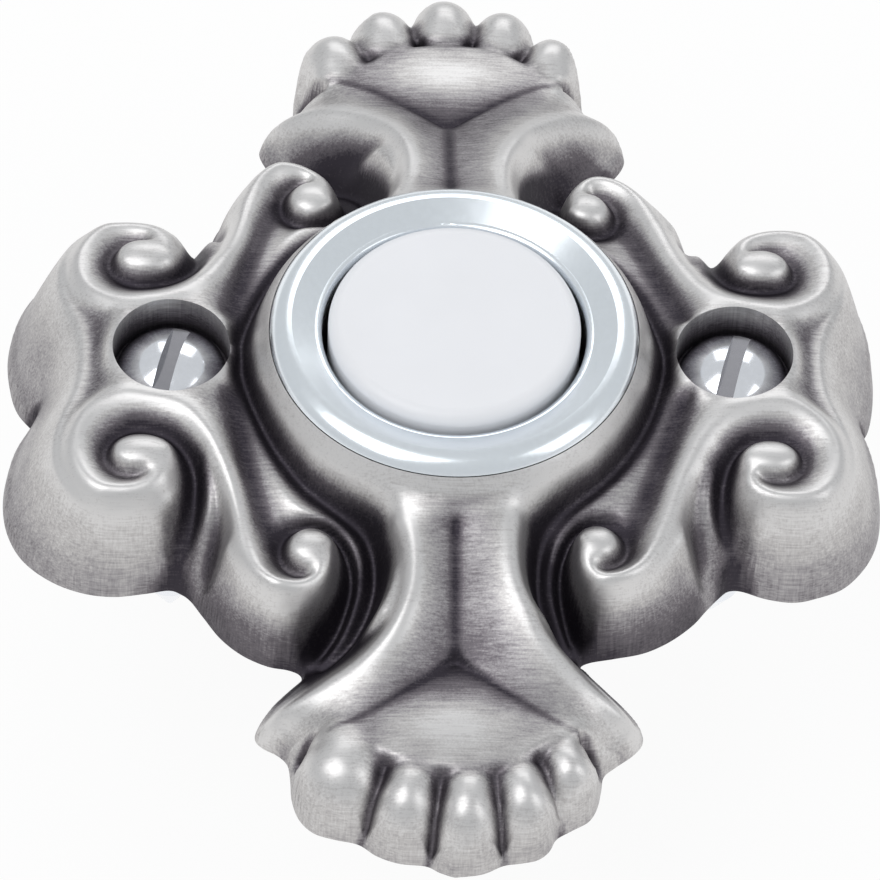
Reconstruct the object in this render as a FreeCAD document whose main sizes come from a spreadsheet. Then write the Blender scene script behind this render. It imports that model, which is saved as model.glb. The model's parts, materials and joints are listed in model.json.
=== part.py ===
import FreeCAD, Part
import math
import os
import re

import Sketcher
from FreeCAD import Placement, Rotation, Vector

# Doorbell push button: a cast scroll plate that screws to a wall, with a chrome-rimmed push
# button through its middle. Millimetres. The origin is on the button's axis, at the plate's
# back face. +Z points out of the wall, +Y up it, and +X to the right of someone facing it.

document = FreeCAD.newDocument("DoorbellPushButton")
sheet = document.addObject("Spreadsheet::Sheet", "Sizes")

DRIVING_SIZES = [
    # Chrome rim and the seat that holds it
    ("rim_outer_radius", 12.7, "outer edge of the chrome rim"),
    ("rim_crest_inset", 1.5, "rim's crest, in from its outer edge"),
    ("rim_width", 3.6, "from the rim's outer edge to the opening that the cap stands in"),
    ("rim_lip_width", 0.5, "rolled lip round the rim's opening"),
    ("rim_wall", 0.45, "pressed wall round the housing flange"),
    ("rim_edge_height", 12.0, "top of the rim's outer edge, above the wall"),
    ("rim_crest_rise", 1.0, "rim's crest above its outer edge"),
    ("rim_lip_rise", 0.3, "rim's lip above its outer edge"),
    ("rim_seat_depth", 1.6, "rim's outer edge above the shoulder it stands on"),
    ("rim_clearance", 0.05, "round the rim in its seat"),
    # Housing
    ("flange_thickness", 0.8, "housing flange under the rim"),
    ("rim_overhang", 1.7, "rim outside the threaded part of the housing"),
    ("tail_step", 0.3, "plain part of the housing, behind the plate, smaller than the thread"),
    ("tail_lip", 0.6, "end of the housing behind the snap ring"),
    ("stop_height", 6.0, "shoulder that stops the foot of the cap"),
    ("barrel_wall", 1.15, "wall of the housing round the room under the shoulder"),
    # Cap and what moves with it
    ("cap_side_gap", 0.4, "round the button cap in the rim"),
    ("cap_proud", 1.23, "flat top of the cap above the rim's outer edge"),
    ("cap_edge_round", 0.9, "rounding of the cap's edge"),
    ("cap_top_wall", 1.5, "thickness of the cap's top"),
    ("cap_side_wall", 1.1, "thickness of the cap's side"),
    ("cap_foot_flange", 0.8, "how far the cap's foot stands out"),
    ("cap_foot_thickness", 1.0, "flange round the foot of the cap"),
    ("cap_travel", 1.5, "how far the cap goes in"),
    ("moving_gap", 0.3, "between the cap's foot and its stop"),
    ("stem_radius", 1.4, "plunger stem"),
    ("stem_neck_radius", 1.0, "thinner end of the stem that carries the contact"),
    ("stem_end", 0.4, "stem past its clip"),
    ("socket_radius", 2.4, "socket under the cap that holds the stem"),
    ("socket_depth", 4.0, "socket under the cap that holds the stem"),
    ("fit_clearance", 0.02, "round pieces that are pressed together"),
    # Guide cup, with the web that guides the stem and carries the spring
    ("web_height", 0.8, "top of the guide web"),
    ("web_thickness", 1.6, "guide web"),
    ("guide_clearance", 0.08, "stem in the guide hole"),
    ("guide_wall", 1.2, "side wall of the guide cup"),
    ("seat_clearance", 0.05, "guide cup and base in the housing"),
    ("post_radius", 1.7, "posts that take the base screws"),
    ("post_inset", 3.45, "middles of the posts, in from the housing's wall"),
    # Spring
    ("spring_radius", 3.4, "middle of the spring's wire"),
    ("spring_wire_radius", 0.3, "spring wire"),
    ("spring_turns", 5, "turns of the spring"),
    ("washer_thickness", 0.4, "thin washers"),
    # Contacts
    ("contact_clearance", 0.5, "moving contact below the web"),
    ("contact_end_gap", 2.85, "moving contact bar, in from the housing's wall"),
    ("contact_width", 4.4, "moving contact bar"),
    ("contact_thickness", 0.6, "moving contact bar"),
    ("contact_inset", 4.85, "middles of the fixed contacts, in from the housing's wall"),
    ("contact_left_open", 0.05, "left between the contacts with the cap pushed right in"),
    ("fixed_contact_radius", 1.8, "head of a fixed contact"),
    ("fixed_contact_head", 1.6, "height of the head of a fixed contact"),
    ("fixed_contact_shank", 1.3, "shank of a fixed contact"),
    ("clip_radius", 2.0, "clip under the moving contact"),
    ("clip_thickness", 0.5, "clip under the moving contact"),
    ("base_thickness", 3.6, "insulating base that closes the housing"),
    ("snap_ring_thickness", 0.8, "ring that keeps the base in"),
    ("snap_ring_width", 1.15, "ring that keeps the base in"),
    ("snap_ring_bite", 0.4, "how far the ring sits in its groove"),
    ("snap_ring_opening", 5.0, "gap between the ring's ends"),
    # Terminals and small screws
    ("terminal_head_radius", 2.6, "terminal screw head"),
    ("terminal_head_height", 1.6, "terminal screw head"),
    ("terminal_shank_radius", 0.8, "terminal screw in its contact"),
    ("terminal_reach", 3.4, "how far a terminal screw goes in"),
    ("terminal_washer_radius", 2.8, "washer that clamps a wire"),
    ("base_screw_radius", 0.8, "screws that hold the base"),
    ("base_screw_head_radius", 1.5, "screws that hold the base"),
    ("base_screw_head_height", 0.9, "screws that hold the base"),
    ("base_screw_length", 6.4, "screws that hold the base"),
    ("small_slot_width", 0.6, "small screw slots"),
    ("small_slot_depth", 0.5, "small screw slots"),
    # Nut behind the plate
    ("nut_wall", 2.0, "retaining nut outside the thread, at its flats"),
    ("nut_thickness", 2.4, "retaining nut"),
    ("nut_clearance", 0.1, "nut and washer on the housing"),
    ("lock_washer_width", 2.6, "washer under the nut, outside the thread"),
    ("lock_washer_thickness", 0.8, "washer under the nut"),
    ("nut_recess_width", 4.4, "recess behind the plate for the nut, outside the thread"),
    ("nut_recess_depth", 4.0, "recess behind the plate for the nut"),
    # Fixing screws
    ("screw_from_collar", 6.34, "middles of the fixing screws, out from the collar's shoulder"),
    ("screw_head_radius", 3.75, "fixing screw head"),
    ("screw_head_edge", 0.5, "straight edge of a fixing screw head"),
    ("screw_head_rise", 2.0, "dome of a fixing screw head"),
    ("screw_seat_height", 6.9, "what the fixing screw heads bear on"),
    ("screw_shank_radius", 2.2, "plain shank of a fixing screw, inside the plate"),
    ("screw_thread_radius", 1.95, "thread of a fixing screw, behind the plate"),
    ("screw_tail", 19.0, "how far the fixing screws reach into the wall"),
    ("screw_point", 3.0, "pointed end of a fixing screw"),
    ("screw_tip_radius", 0.3, "blunt tip of a fixing screw"),
    ("screw_slot_width", 1.2, "fixing screw slot"),
    ("screw_slot_depth", 1.0, "fixing screw slot"),
    ("screw_slot_angle", 75, "direction of both slots from +X"),
    ("screw_hole_clearance", 0.25, "round the fixing screws in the plate"),
    ("head_recess_clearance", 0.3, "round the fixing screw heads"),
    # Cast plate
    ("collar_width", 0.4, "shoulder of the collar outside the rim"),
    ("collar_lip_width", 0.3, "lip round the rim, in from the shoulder"),
    ("collar_drop", 0.8, "shoulder below the rim's outer edge"),
    ("collar_flank_width", 1.2, "flank of the collar outside its shoulder"),
    ("collar_flank_height", 9.4, "top of the collar's flank"),
    ("collar_foot_height", 7.5, "casting inside the collar"),
    ("outer_eye_radius", 1.6, "dome at the middle of an outer scroll"),
    ("inner_eye_radius", 1.4, "dome at the middle of an inner scroll"),
    ("outer_eye_height", 9.75, "top of an outer scroll's eye"),
    ("inner_eye_height", 8.0, "top of an inner scroll's eye"),
    ("boss_height", 10.3, "crest of the scrolls beside the fixing screws"),
    ("outer_hook_height", 9.3, "crest where it ends on an outer scroll"),
    ("band_height", 9.5, "crest where it starts to cross between two scrolls"),
    ("inner_crest_height", 8.1, "crest where it reaches an inner scroll"),
    ("inner_hook_height", 7.6, "crest where it ends on an inner scroll"),
    ("outer_eye_shift_x", 0.65, "outer scroll's eye, towards the middle of the plate"),
    ("outer_eye_shift_y", 0.6, "outer scroll's eye, along the plate"),
    ("inner_eye_shift_x", 1.2, "inner scroll's eye, towards the middle of the plate"),
    ("inner_eye_shift_y", 0.15, "inner scroll's eye, along the plate"),
    ("eye_drop", 0.4, "edge of an eye below its top"),
    ("recess_edge_height", 10.1, "level edge of the fixing screw recesses"),
    ("wall_bulge", 1.7, "power of the bulge in the walls below the crests"),
    ("wall_draft", 2.0, "rise of the walls at their foot for each millimetre inward"),
    ("pad_height", 4.85, "edge of the pad at each end"),
    ("pad_crown", 0.9, "middle of the pad above its edge"),
    ("pad_half_width", 8.6, "pad"),
    ("pad_half_height", 5.4, "crown of the pad"),
    ("pad_beyond_neck", 9.4, "from where the neck starts to flare to the pad's middle"),
    ("web_edge", 0.8, "thin web round the lobes"),
    ("lobe_height", 5.2, "top of the lobes"),
    ("lobe_flare", 0.4, "how much wider a lobe is at its foot"),
    ("lobe_head_share", 0.17, "top of a lobe, as a share of the way from its back to its foot"),
    ("core_depth", 3.4, "hollows cast into the plate's back"),
    # Scrolls of the cast plate, in the quadrant where x and y are positive
    ("outer_from_screw", 2.96, "middle of an outer scroll, out from the fixing screw"),
    ("outer_scroll_y", 8.1, "middle of an outer scroll"),
    ("outer_scroll_radius", 4.0, "crest round an outer scroll"),
    ("wide_scroll_radius", 6.2, "crest where it leaves an outer scroll"),
    ("inner_inside_collar", 2.2, "inner scroll across the plate, in from the collar's shoulder"),
    ("inner_beyond_collar", 2.35, "inner scroll along the plate, out from the collar's shoulder"),
    ("inner_scroll_radius", 3.25, "crest round an inner scroll"),
    ("outer_hook_angle", 112, "where the crest ends on an outer scroll"),
    ("inner_hook_angle", 150, "where the crest ends on an inner scroll"),
    ("outer_foot_shift_x", 0.5, "foot of an outer scroll from its middle"),
    ("outer_foot_shift_y", 1.5, "foot of an outer scroll from its middle"),
    ("outer_foot_radius", 7.6, "foot of an outer scroll"),
    ("outer_foot_start", -20, "direction where an outer scroll's foot leaves the side notch"),
    ("outer_foot_end", 117, "direction where an outer scroll's foot reaches the inner scroll's"),
    ("side_notch_reach", 6.5, "notch at each side from the outer scrolls' middles"),
    ("inner_foot_shift_x", 0.9, "foot of an inner scroll from its middle"),
    ("inner_foot_shift_y", 1.3, "foot of an inner scroll from its middle"),
    ("inner_foot_radius", 5.7, "foot of an inner scroll"),
    ("inner_foot_end", 105, "direction where an inner scroll's foot reaches the arm's"),
    # Ends of the cast plate: necks, flared arms, pads, lobes and webs
    ("neck_length", 5.9, "from the collar's shoulder to where the neck starts to flare"),
    ("web_half_width", 10.9, "web round the lobes"),
    ("web_beyond_neck", 10.6, "from where the neck starts to flare to the middle of the web's ellipse"),
    ("web_half_height", 7.7, "web round the lobes, from its middle to the end of the plate"),
    ("core_radius", 4.2, "hollows cast into the plate's back"),
    ("core_draft", 0.5, "narrowing of a hollow towards its floor"),
    ("core_shift", 0.1, "hollows under the outer scrolls, outward of the scrolls' middles"),
    ("core_below_web", 2.6, "hollow under a pad, from the middle of the web's ellipse"),
]

for row, (alias, number, note) in enumerate(DRIVING_SIZES, start=1):
    sheet.set(f"A{row}", note)
    sheet.set(f"B{row}", str(number))
    sheet.setAlias(f"B{row}", alias)
document.recompute()

# Sizes that follow from those above, so that pieces which fit together change together
TIED_SIZES = {
    "rim_crest_radius": "(rim_outer_radius - rim_crest_inset)",
    "rim_bore_radius": "(rim_outer_radius - rim_width)",
    "barrel_radius": "(rim_outer_radius - rim_overhang)",
    "tail_radius": "(barrel_radius - tail_step)",
    "chamber_radius": "(barrel_radius - barrel_wall)",
    "cap_radius": "(rim_bore_radius - cap_side_gap)",
    "post_offset": "(chamber_radius - post_inset)",
    "contact_length": "(2 * (chamber_radius - contact_end_gap))",
    "contact_spacing": "(2 * (chamber_radius - contact_inset))",
    "nut_across_flats": "(2 * (barrel_radius + nut_wall))",
    "lock_washer_radius": "(barrel_radius + lock_washer_width)",
    "nut_recess_radius": "(barrel_radius + nut_recess_width)",
    "collar_radius": "(rim_outer_radius + collar_width)",
    "collar_flank_radius": "(collar_radius + collar_flank_width)",
    "screw_spacing": "(2 * (collar_radius + screw_from_collar))",
    "outer_scroll_x": "(screw_spacing / 2 + outer_from_screw)",
    "inner_scroll_x": "(collar_radius - inner_inside_collar)",
    "inner_scroll_y": "(collar_radius + inner_beyond_collar)",
    "neck_reach": "(collar_radius + neck_length)",
}

# Heights that follow from the sizes above, written as expressions for the sheet
RIM_SEAT = "(rim_edge_height - rim_seat_depth)"
RIM_CREST = "(rim_edge_height + rim_crest_rise)"
RIM_LIP = "(rim_edge_height + rim_lip_rise)"
FLANGE_TOP = f"({RIM_SEAT} + flange_thickness)"
FLANGE_RADIUS = "(rim_outer_radius - rim_wall - rim_clearance)"
CAP_TOP = "(rim_edge_height + cap_proud)"
CAP_UNDERSIDE = f"({CAP_TOP} - cap_top_wall)"
CAP_FOOT_TOP = "(stop_height - moving_gap)"
WEB_BOTTOM = "(web_height - web_thickness)"
CONTACT_TOP = f"({WEB_BOTTOM} - contact_clearance)"
CONTACT_BOTTOM = f"({CONTACT_TOP} - contact_thickness)"
FIXED_TOP = f"({CONTACT_BOTTOM} - cap_travel - contact_left_open)"
BASE_TOP = f"({FIXED_TOP} - fixed_contact_head)"
BASE_BOTTOM = f"({BASE_TOP} - base_thickness)"
RING_BOTTOM = f"({BASE_BOTTOM} - snap_ring_thickness)"
TAIL_END = f"({RING_BOTTOM} - tail_lip)"
GROOVE_RADIUS = "(chamber_radius + snap_ring_bite + seat_clearance)"
NUT_TOP = "(nut_recess_depth - lock_washer_thickness)"
SCREW_TOP = "(screw_seat_height + screw_head_edge + screw_head_rise)"
WEB_MIDDLE = "(neck_reach + web_beyond_neck)"

# Lobes as (back across, back along, foot across, foot along, radius), along from the web's middle.
# The casting's lobes differ from each other.
TOP_LOBES = [(-8.0, 1.0, -9.3, 3.7, 2.3), (-4.5, 3.3, -5.5, 6.4, 2.35), (0.0, 4.4, 0.0, 7.6, 2.2),
             (4.1, 3.6, 5.0, 6.5, 2.05), (7.6, 1.3, 8.9, 3.8, 2.05)]
BOTTOM_LOBES = [(-7.3, 1.4, -8.9, 4.6, 2.9), (-3.05, 3.5, -3.9, 6.7, 2.1), (0.85, 4.1, 0.75, 7.6, 2.1),
                (4.45, 3.5, 5.4, 6.4, 2.05), (7.5, 1.4, 8.7, 3.7, 1.95)]

# Guide curves of the relief, in the quadrant where x and y are positive. Each point stands off
# an anchor, which is a scroll's middle or the place where a neck starts to flare, and ends
# with its height above the wall. Splines run through the points.
GUIDES = {
    "outer_groove": [("outer", -1.4, 2.0, 9.2), ("outer", 0.3, 1.8, 8.8), ("outer", 1.4, 0.5, 8.7),
                     ("outer", 0.7, -1.0, 8.8), ("outer", -1.0, -1.3, 8.8), ("outer", -2.6, -0.7, 8.5),
                     ("outer", -3.8, 0.6, 8.0), ("outer", -4.7, 2.1, 7.1), ("outer", -4.8, 3.9, 5.6),
                     ("outer", -3.9, 5.3, 3.3)],
    "inner_groove": [("inner", -1.0, 1.6, 7.2), ("inner", 0.5, 0.7, 6.9), ("inner", 0.8, -1.0, 6.9),
                     ("inner", -0.4, -2.3, 6.9), ("inner", -2.1, -2.0, 6.5), ("inner", -3.3, -0.7, 5.7),
                     ("inner", -3.6, 1.0, 4.3), ("inner", -3.1, 2.7, 2.8), ("inner", -2.2, 4.2, 1.3)],
    "trough": [("outer", -6.5, -4.7, 9.2), ("outer", -7.6, -1.1, 8.4), ("inner", 2.8, -4.9, 7.7),
               ("inner", 1.6, -1.3, 7.0)],
    "leaf_edge": [("outer", -7.1, -7.9, 9.2), ("outer", -8.0, -4.6, 8.7), ("inner", 2.4, -8.8, 8.4),
                  ("inner", 1.0, -5.7, 8.2), ("inner", -1.3, -3.3, 7.8), ("inner", -3.8, -1.1, 6.7),
                  ("inner", -4.1, 2.1, 4.3), ("inner", -2.3, 4.9, 1.2)],
    "collar_valley": [("outer", -7.8, -8.1, 8.6), ("outer", -8.6, -4.6, 8.2), ("inner", 1.5, -8.7, 8.0),
                      ("inner", -0.6, -5.8, 7.7), ("inner", -3.3, -3.4, 7.2), ("inner", -5.3, -0.6, 5.3),
                      ("inner", -4.8, 2.8, 3.0), ("inner", -2.5, 5.4, 0.9)],
    "arm_crest": [("neck", 4.3, -4.8, 10.4), ("neck", 3.8, -2.4, 9.8), ("neck", 3.8, 0.1, 9.1),
                  ("neck", 4.7, 2.4, 8.3), ("neck", 6.2, 4.3, 7.1), ("neck", 8.2, 5.8, 6.0),
                  ("neck", 10.3, 6.9, 4.8), ("neck", 12.6, 7.6, 2.1)],
    "neck_groove": [("neck", 0, -4.1, 9.5), ("neck", 0, -1.0, 8.5), ("neck", 0, 4.2, 6.5)],
    "pad_edge": [("neck", 0, 4.4, 6.4), ("neck", 3.7, 7.1, 6.1), ("neck", 7.2, 9.2, 5.1)],
    "arm_foot": [("neck", 9.6, 1.3, 0), ("neck", 10.9, 3.25, 0), ("neck", 12.5, 5.2, 0),
                 ("neck", 13.1, 7.2, 0), ("neck", 11.6, 8.9, 0), ("neck", 9.3, 11.2, 0),
                 ("neck", 5.0, 13.4, 0), ("neck", 0, 14.6, 0)],
}
# Spacings of the heights that are worked out between the guide curves, from coarse to fine, and
# the spacing of the surface's own net
COARSE_STEP = 0.8
MIDDLE_STEP = 0.4
FINE_STEP = 0.2
NET_STEP = 0.6
# How the heights are evened out between the guide curves
FIRST_ROUNDS = 160
LATER_ROUNDS = 36
RELAXATION = 1.6
SOFT_SPREAD = 0.25
NET_ROUNDS = 2
# Flat ground round the relief, and the underside that is trimmed off with it
GROUND_MARGIN = 2.0
GROUND_DEPTH = 3.0
BLOCK_DEPTH = 4.0

aliases = {alias for alias, number, note in DRIVING_SIZES}
subparts = []


def spelled_out(text):
    """The expression with every tied size written in the sheet's own sizes."""
    while True:
        longer = re.sub(r"[a-z_]+", lambda word: TIED_SIZES.get(word.group(0), word.group(0)), text)
        if longer == text:
            return text
        text = longer


def size(text):
    """Value of an expression in the sheet's words."""
    return float(sheet.evalExpression(spelled_out(str(text))))


def from_sheet(text):
    """The same expression as other objects write it."""
    def written(word):
        return "Sizes." + word.group(0) if word.group(0) in aliases else word.group(0)
    return re.sub(r"[a-z_]+", written, spelled_out(text))


def add_subpart(label, item):
    item.Label = label
    subparts.append(item)
    return item


def plane_of(body, role):
    """One of a body's own origin planes."""
    for feature in body.Origin.OriginFeatures:
        if feature.Role == role:
            return feature
    raise RuntimeError("no plane " + role)


def new_sketch(body, name, role, height=None):
    """Empty sketch on a body's own plane, raised by an expression."""
    sketch = body.newObject("Sketcher::SketchObject", name)
    sketch.AttachmentSupport = [(plane_of(body, role), "")]
    sketch.MapMode = "FlatFace"
    if height is not None:
        sketch.setExpression("AttachmentOffset.Base.z", from_sheet(height))
    return sketch


def arc_through(start, end, radius):
    """Arc under half a turn; with a positive radius its centre is left of start to end."""
    chord = end - start
    half = chord.Length / 2
    left = Vector(-chord.y, chord.x, 0).normalize()
    side = 1 if radius > 0 else -1
    reach = math.sqrt(max(radius * radius - half * half, 0.0))
    centre = (start + end) / 2 + left * reach * side
    return Part.Arc(start, centre - left * abs(radius) * side, end)


def draw_profile(sketch, corners):
    """Closed profile. A corner is (x, y) or (x, y, radius of the arc that starts there)."""
    points = [Vector(size(corner[0]), size(corner[1]), 0) for corner in corners]
    count = len(corners)
    geometry = []
    for index, corner in enumerate(corners):
        start = points[index]
        end = points[(index + 1) % count]
        if len(corner) == 3:
            geometry.append(arc_through(start, end, size(corner[2])))
        else:
            geometry.append(Part.LineSegment(start, end))
    sketch.addGeometry(geometry, False)
    # An arc may come back with its ends swapped, so each end is looked up
    starts = []
    for index in range(count):
        forward = (sketch.getPoint(index, 1) - points[index]).Length < 1e-6
        starts.append(1 if forward else 2)
    for index, corner in enumerate(corners):
        before = (index - 1) % count
        joint = Sketcher.Constraint("Coincident", before, 3 - starts[before], index, starts[index])
        sketch.addConstraint(joint)
        for kind, text, axis in (("DistanceX", corner[0], -2), ("DistanceY", corner[1], -1)):
            if text == "0":
                on_axis = Sketcher.Constraint("PointOnObject", index, starts[index], axis)
                sketch.addConstraint(on_axis)
                continue
            distance = Sketcher.Constraint(kind, -1, 1, index, starts[index], size(text))
            number = sketch.addConstraint(distance)
            sketch.setExpression(f"Constraints[{number}]", from_sheet(text))
        if len(corner) == 3:
            number = sketch.addConstraint(Sketcher.Constraint("Radius", index, abs(size(corner[2]))))
            sketch.setExpression(f"Constraints[{number}]", f"abs({from_sheet(corner[2])})")


def draw_circles(sketch, centres, radius):
    """Circles of one radius at (x, y) expressions."""
    for x, y in centres:
        circle = Part.Circle(Vector(size(x), size(y), 0), Vector(0, 0, 1), size(radius))
        index = sketch.addGeometry(circle, False)
        for kind, text, axis in (("DistanceX", x, -2), ("DistanceY", y, -1)):
            if text == "0":
                sketch.addConstraint(Sketcher.Constraint("PointOnObject", index, 3, axis))
                continue
            number = sketch.addConstraint(Sketcher.Constraint(kind, -1, 1, index, 3, size(text)))
            sketch.setExpression(f"Constraints[{number}]", from_sheet(text))
        number = sketch.addConstraint(Sketcher.Constraint("Radius", index, size(radius)))
        sketch.setExpression(f"Constraints[{number}]", from_sheet(radius))


def new_body(label, side_offset=None, up_offset=None):
    """Empty body, moved along X or Y by an expression."""
    body = add_subpart(label, document.addObject("PartDesign::Body", label))
    if side_offset is not None:
        body.setExpression("Placement.Base.x", from_sheet(side_offset))
    if up_offset is not None:
        body.setExpression("Placement.Base.y", from_sheet(up_offset))
    return body


def turn(body, corners):
    """Solid of revolution about the body's Z axis from (radius, height) corners."""
    sketch = new_sketch(body, body.Name + "_profile", "XZ_Plane")
    draw_profile(sketch, corners)
    turning = body.newObject("PartDesign::Revolution", body.Name + "_turning")
    turning.Profile = sketch
    turning.ReferenceAxis = (sketch, ["V_Axis"])
    turning.Angle = 360
    document.recompute()
    return body


def pocket(body, name, draw, top, depth):
    """Cut down from a height; stops if it takes nothing away."""
    before = body.Shape.Volume
    sketch = new_sketch(body, body.Name + "_" + name + "_outline", "XY_Plane", top)
    draw(sketch)
    cut = body.newObject("PartDesign::Pocket", body.Name + "_" + name)
    cut.Profile = sketch
    cut.setExpression("Length", from_sheet(depth))
    document.recompute()
    if body.Shape.Volume > before - 1e-6:
        raise RuntimeError(f"{body.Label}: {name} cuts nothing")


def pad(body, name, draw, bottom, height):
    """Solid of constant section, up from a height."""
    sketch = new_sketch(body, body.Name + "_" + name + "_outline", "XY_Plane", bottom)
    draw(sketch)
    block = body.newObject("PartDesign::Pad", body.Name + "_" + name)
    block.Profile = sketch
    block.setExpression("Length", from_sheet(height))
    document.recompute()


def rectangle(half_length, half_width, middle="0"):
    """Corners of a rectangle about (middle, 0)."""
    left = f"{middle} - ({half_length})"
    right = f"{middle} + ({half_length})"
    return [
        (left, f"-({half_width})"),
        (right, f"-({half_width})"),
        (right, f"{half_width}"),
        (left, f"{half_width}"),
    ]


def cut_slot(body, half_length, width, top, depth):
    """Screwdriver slot along the body's own X axis."""
    corners = rectangle(half_length, f"{width} / 2")
    pocket(body, "slot", lambda sketch: draw_profile(sketch, corners), top, depth)


def ring(label, inner, outer, bottom, thickness, **offsets):
    """Flat ring."""
    top = f"{bottom} + {thickness}"
    corners = [(inner, bottom), (outer, bottom), (outer, top), (inner, top)]
    return turn(new_body(label, **offsets), corners)


def make_chrome_rim():
    """Pressed ring: an outer wall over the housing flange, a crest and a rolled lip."""
    outer_rise = "rim_crest_rise"
    outer_run = "(rim_outer_radius - rim_crest_radius)"
    lip_radius = "(rim_bore_radius + rim_lip_width)"
    turn(new_body("chrome_rim"), [
        ("rim_bore_radius", FLANGE_TOP),
        ("rim_outer_radius - rim_wall", FLANGE_TOP),
        ("rim_outer_radius - rim_wall", RIM_SEAT),
        ("rim_outer_radius", RIM_SEAT),
        ("rim_outer_radius", "rim_edge_height", f"({outer_run}^2 + {outer_rise}^2) / (2 * {outer_rise})"),
        ("rim_crest_radius", RIM_CREST),
        (lip_radius, RIM_LIP, "rim_lip_width"),
        ("rim_bore_radius", f"{RIM_LIP} - rim_lip_width"),
    ])


def make_housing():
    """Moulded barrel: flange under the rim, shoulder for the cap's foot, groove at the back."""
    turn(new_body("housing"), [
        ("chamber_radius", TAIL_END),
        ("tail_radius", TAIL_END),
        ("tail_radius", "0"),
        ("barrel_radius", "0"),
        ("barrel_radius", RIM_SEAT),
        (FLANGE_RADIUS, RIM_SEAT),
        (FLANGE_RADIUS, FLANGE_TOP),
        ("rim_bore_radius", FLANGE_TOP),
        ("rim_bore_radius", "stop_height"),
        ("chamber_radius", "stop_height"),
        ("chamber_radius", BASE_BOTTOM),
        (GROOVE_RADIUS, BASE_BOTTOM),
        (GROOVE_RADIUS, RING_BOTTOM),
        ("chamber_radius", RING_BOTTOM),
    ])


def make_button_cap():
    """Cup with a flat top, a rounded edge, a foot that catches the shoulder and a stem socket."""
    bore = "(stem_radius + fit_clearance)"
    inside = "(cap_radius - cap_side_wall)"
    socket_end = f"{CAP_UNDERSIDE} - socket_depth"
    foot_bottom = f"{CAP_FOOT_TOP} - cap_foot_thickness"
    turn(new_body("button_cap"), [
        ("0", CAP_UNDERSIDE),
        (bore, CAP_UNDERSIDE),
        (bore, socket_end),
        ("socket_radius", socket_end),
        ("socket_radius", CAP_UNDERSIDE),
        (inside, CAP_UNDERSIDE),
        (inside, foot_bottom),
        ("cap_radius + cap_foot_flange", foot_bottom),
        ("cap_radius + cap_foot_flange", CAP_FOOT_TOP),
        ("cap_radius", CAP_FOOT_TOP),
        ("cap_radius", f"{CAP_TOP} - cap_edge_round", "cap_edge_round"),
        ("cap_radius - cap_edge_round", CAP_TOP),
        ("0", CAP_TOP),
    ])


def make_plunger_stem():
    """Stem from the cap's socket through the guide web, necked to carry the contact."""
    end = f"{CONTACT_BOTTOM} - clip_thickness - stem_end"
    turn(new_body("plunger_stem"), [
        ("0", end),
        ("stem_neck_radius", end),
        ("stem_neck_radius", CONTACT_TOP),
        ("stem_radius", CONTACT_TOP),
        ("stem_radius", CAP_UNDERSIDE),
        ("0", CAP_UNDERSIDE),
    ])


def make_guide_cup():
    """Moulded cup: web with the guide hole, side wall down to the base, and two screw posts."""
    outside = "(chamber_radius - seat_clearance)"
    hole = "(stem_radius + guide_clearance)"
    body = turn(new_body("guide_cup"), [
        (hole, WEB_BOTTOM),
        (f"{outside} - guide_wall", WEB_BOTTOM),
        (f"{outside} - guide_wall", BASE_TOP),
        (outside, BASE_TOP),
        (outside, "web_height"),
        (hole, "web_height"),
    ])
    centres = [("0", "post_offset"), ("0", "-post_offset")]
    height = f"({WEB_BOTTOM} - {BASE_TOP})"
    pad(body, "posts", lambda sketch: draw_circles(sketch, centres, "post_radius"), BASE_TOP, height)
    bore = "base_screw_radius + fit_clearance"
    depth = f"({height} - fit_clearance)"
    top = f"{WEB_BOTTOM} - fit_clearance"
    pocket(body, "screw_holes", lambda sketch: draw_circles(sketch, centres, bore), top, depth)


def make_return_spring():
    """Open coil between the spring washer and the underside of the cap."""
    wire = size("spring_wire_radius")
    coil = size("spring_radius")
    bottom = size("web_height + washer_thickness") + wire
    top = size(CAP_UNDERSIDE) - wire - size("moving_gap")
    height = top - bottom
    pitch = height / size("spring_turns")
    helix = Part.makeLongHelix(pitch, height, coil)
    start_direction = Vector(0, 2 * math.pi * coil, pitch)
    section = Part.Wire(Part.makeCircle(wire, Vector(coil, 0, 0), start_direction))
    shape = Part.Wire(helix.Edges).makePipeShell([section], True, True)
    spring = add_subpart("return_spring", document.addObject("Part::Feature", "return_spring"))
    spring.Shape = shape
    spring.Placement = Placement(Vector(0, 0, bottom), Rotation())


def make_moving_contact():
    """Bridge bar across both fixed contacts, holed for the stem's neck."""
    body = new_body("moving_contact")
    corners = rectangle("contact_length / 2", "contact_width / 2")
    pad(body, "bar", lambda sketch: draw_profile(sketch, corners), CONTACT_BOTTOM, "contact_thickness")
    hole = "stem_neck_radius + fit_clearance"
    middle = [("0", "0")]
    pocket(body, "hole", lambda sketch: draw_circles(sketch, middle, hole), CONTACT_TOP, "contact_thickness")


def make_contact_base():
    """Insulating disc that closes the housing, holed for both contacts and both screws."""
    body = turn(new_body("contact_base"), [
        ("0", BASE_BOTTOM),
        ("chamber_radius - seat_clearance", BASE_BOTTOM),
        ("chamber_radius - seat_clearance", BASE_TOP),
        ("0", BASE_TOP),
    ])
    contacts = [("contact_spacing / 2", "0"), ("-contact_spacing / 2", "0")]
    hole = "fixed_contact_shank + fit_clearance"
    pocket(body, "contact_holes", lambda sketch: draw_circles(sketch, contacts, hole), BASE_TOP,
           "base_thickness")
    screws = [("0", "post_offset"), ("0", "-post_offset")]
    hole = "base_screw_radius + fit_clearance"
    pocket(body, "screw_holes", lambda sketch: draw_circles(sketch, screws, hole), BASE_TOP, "base_thickness")


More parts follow.
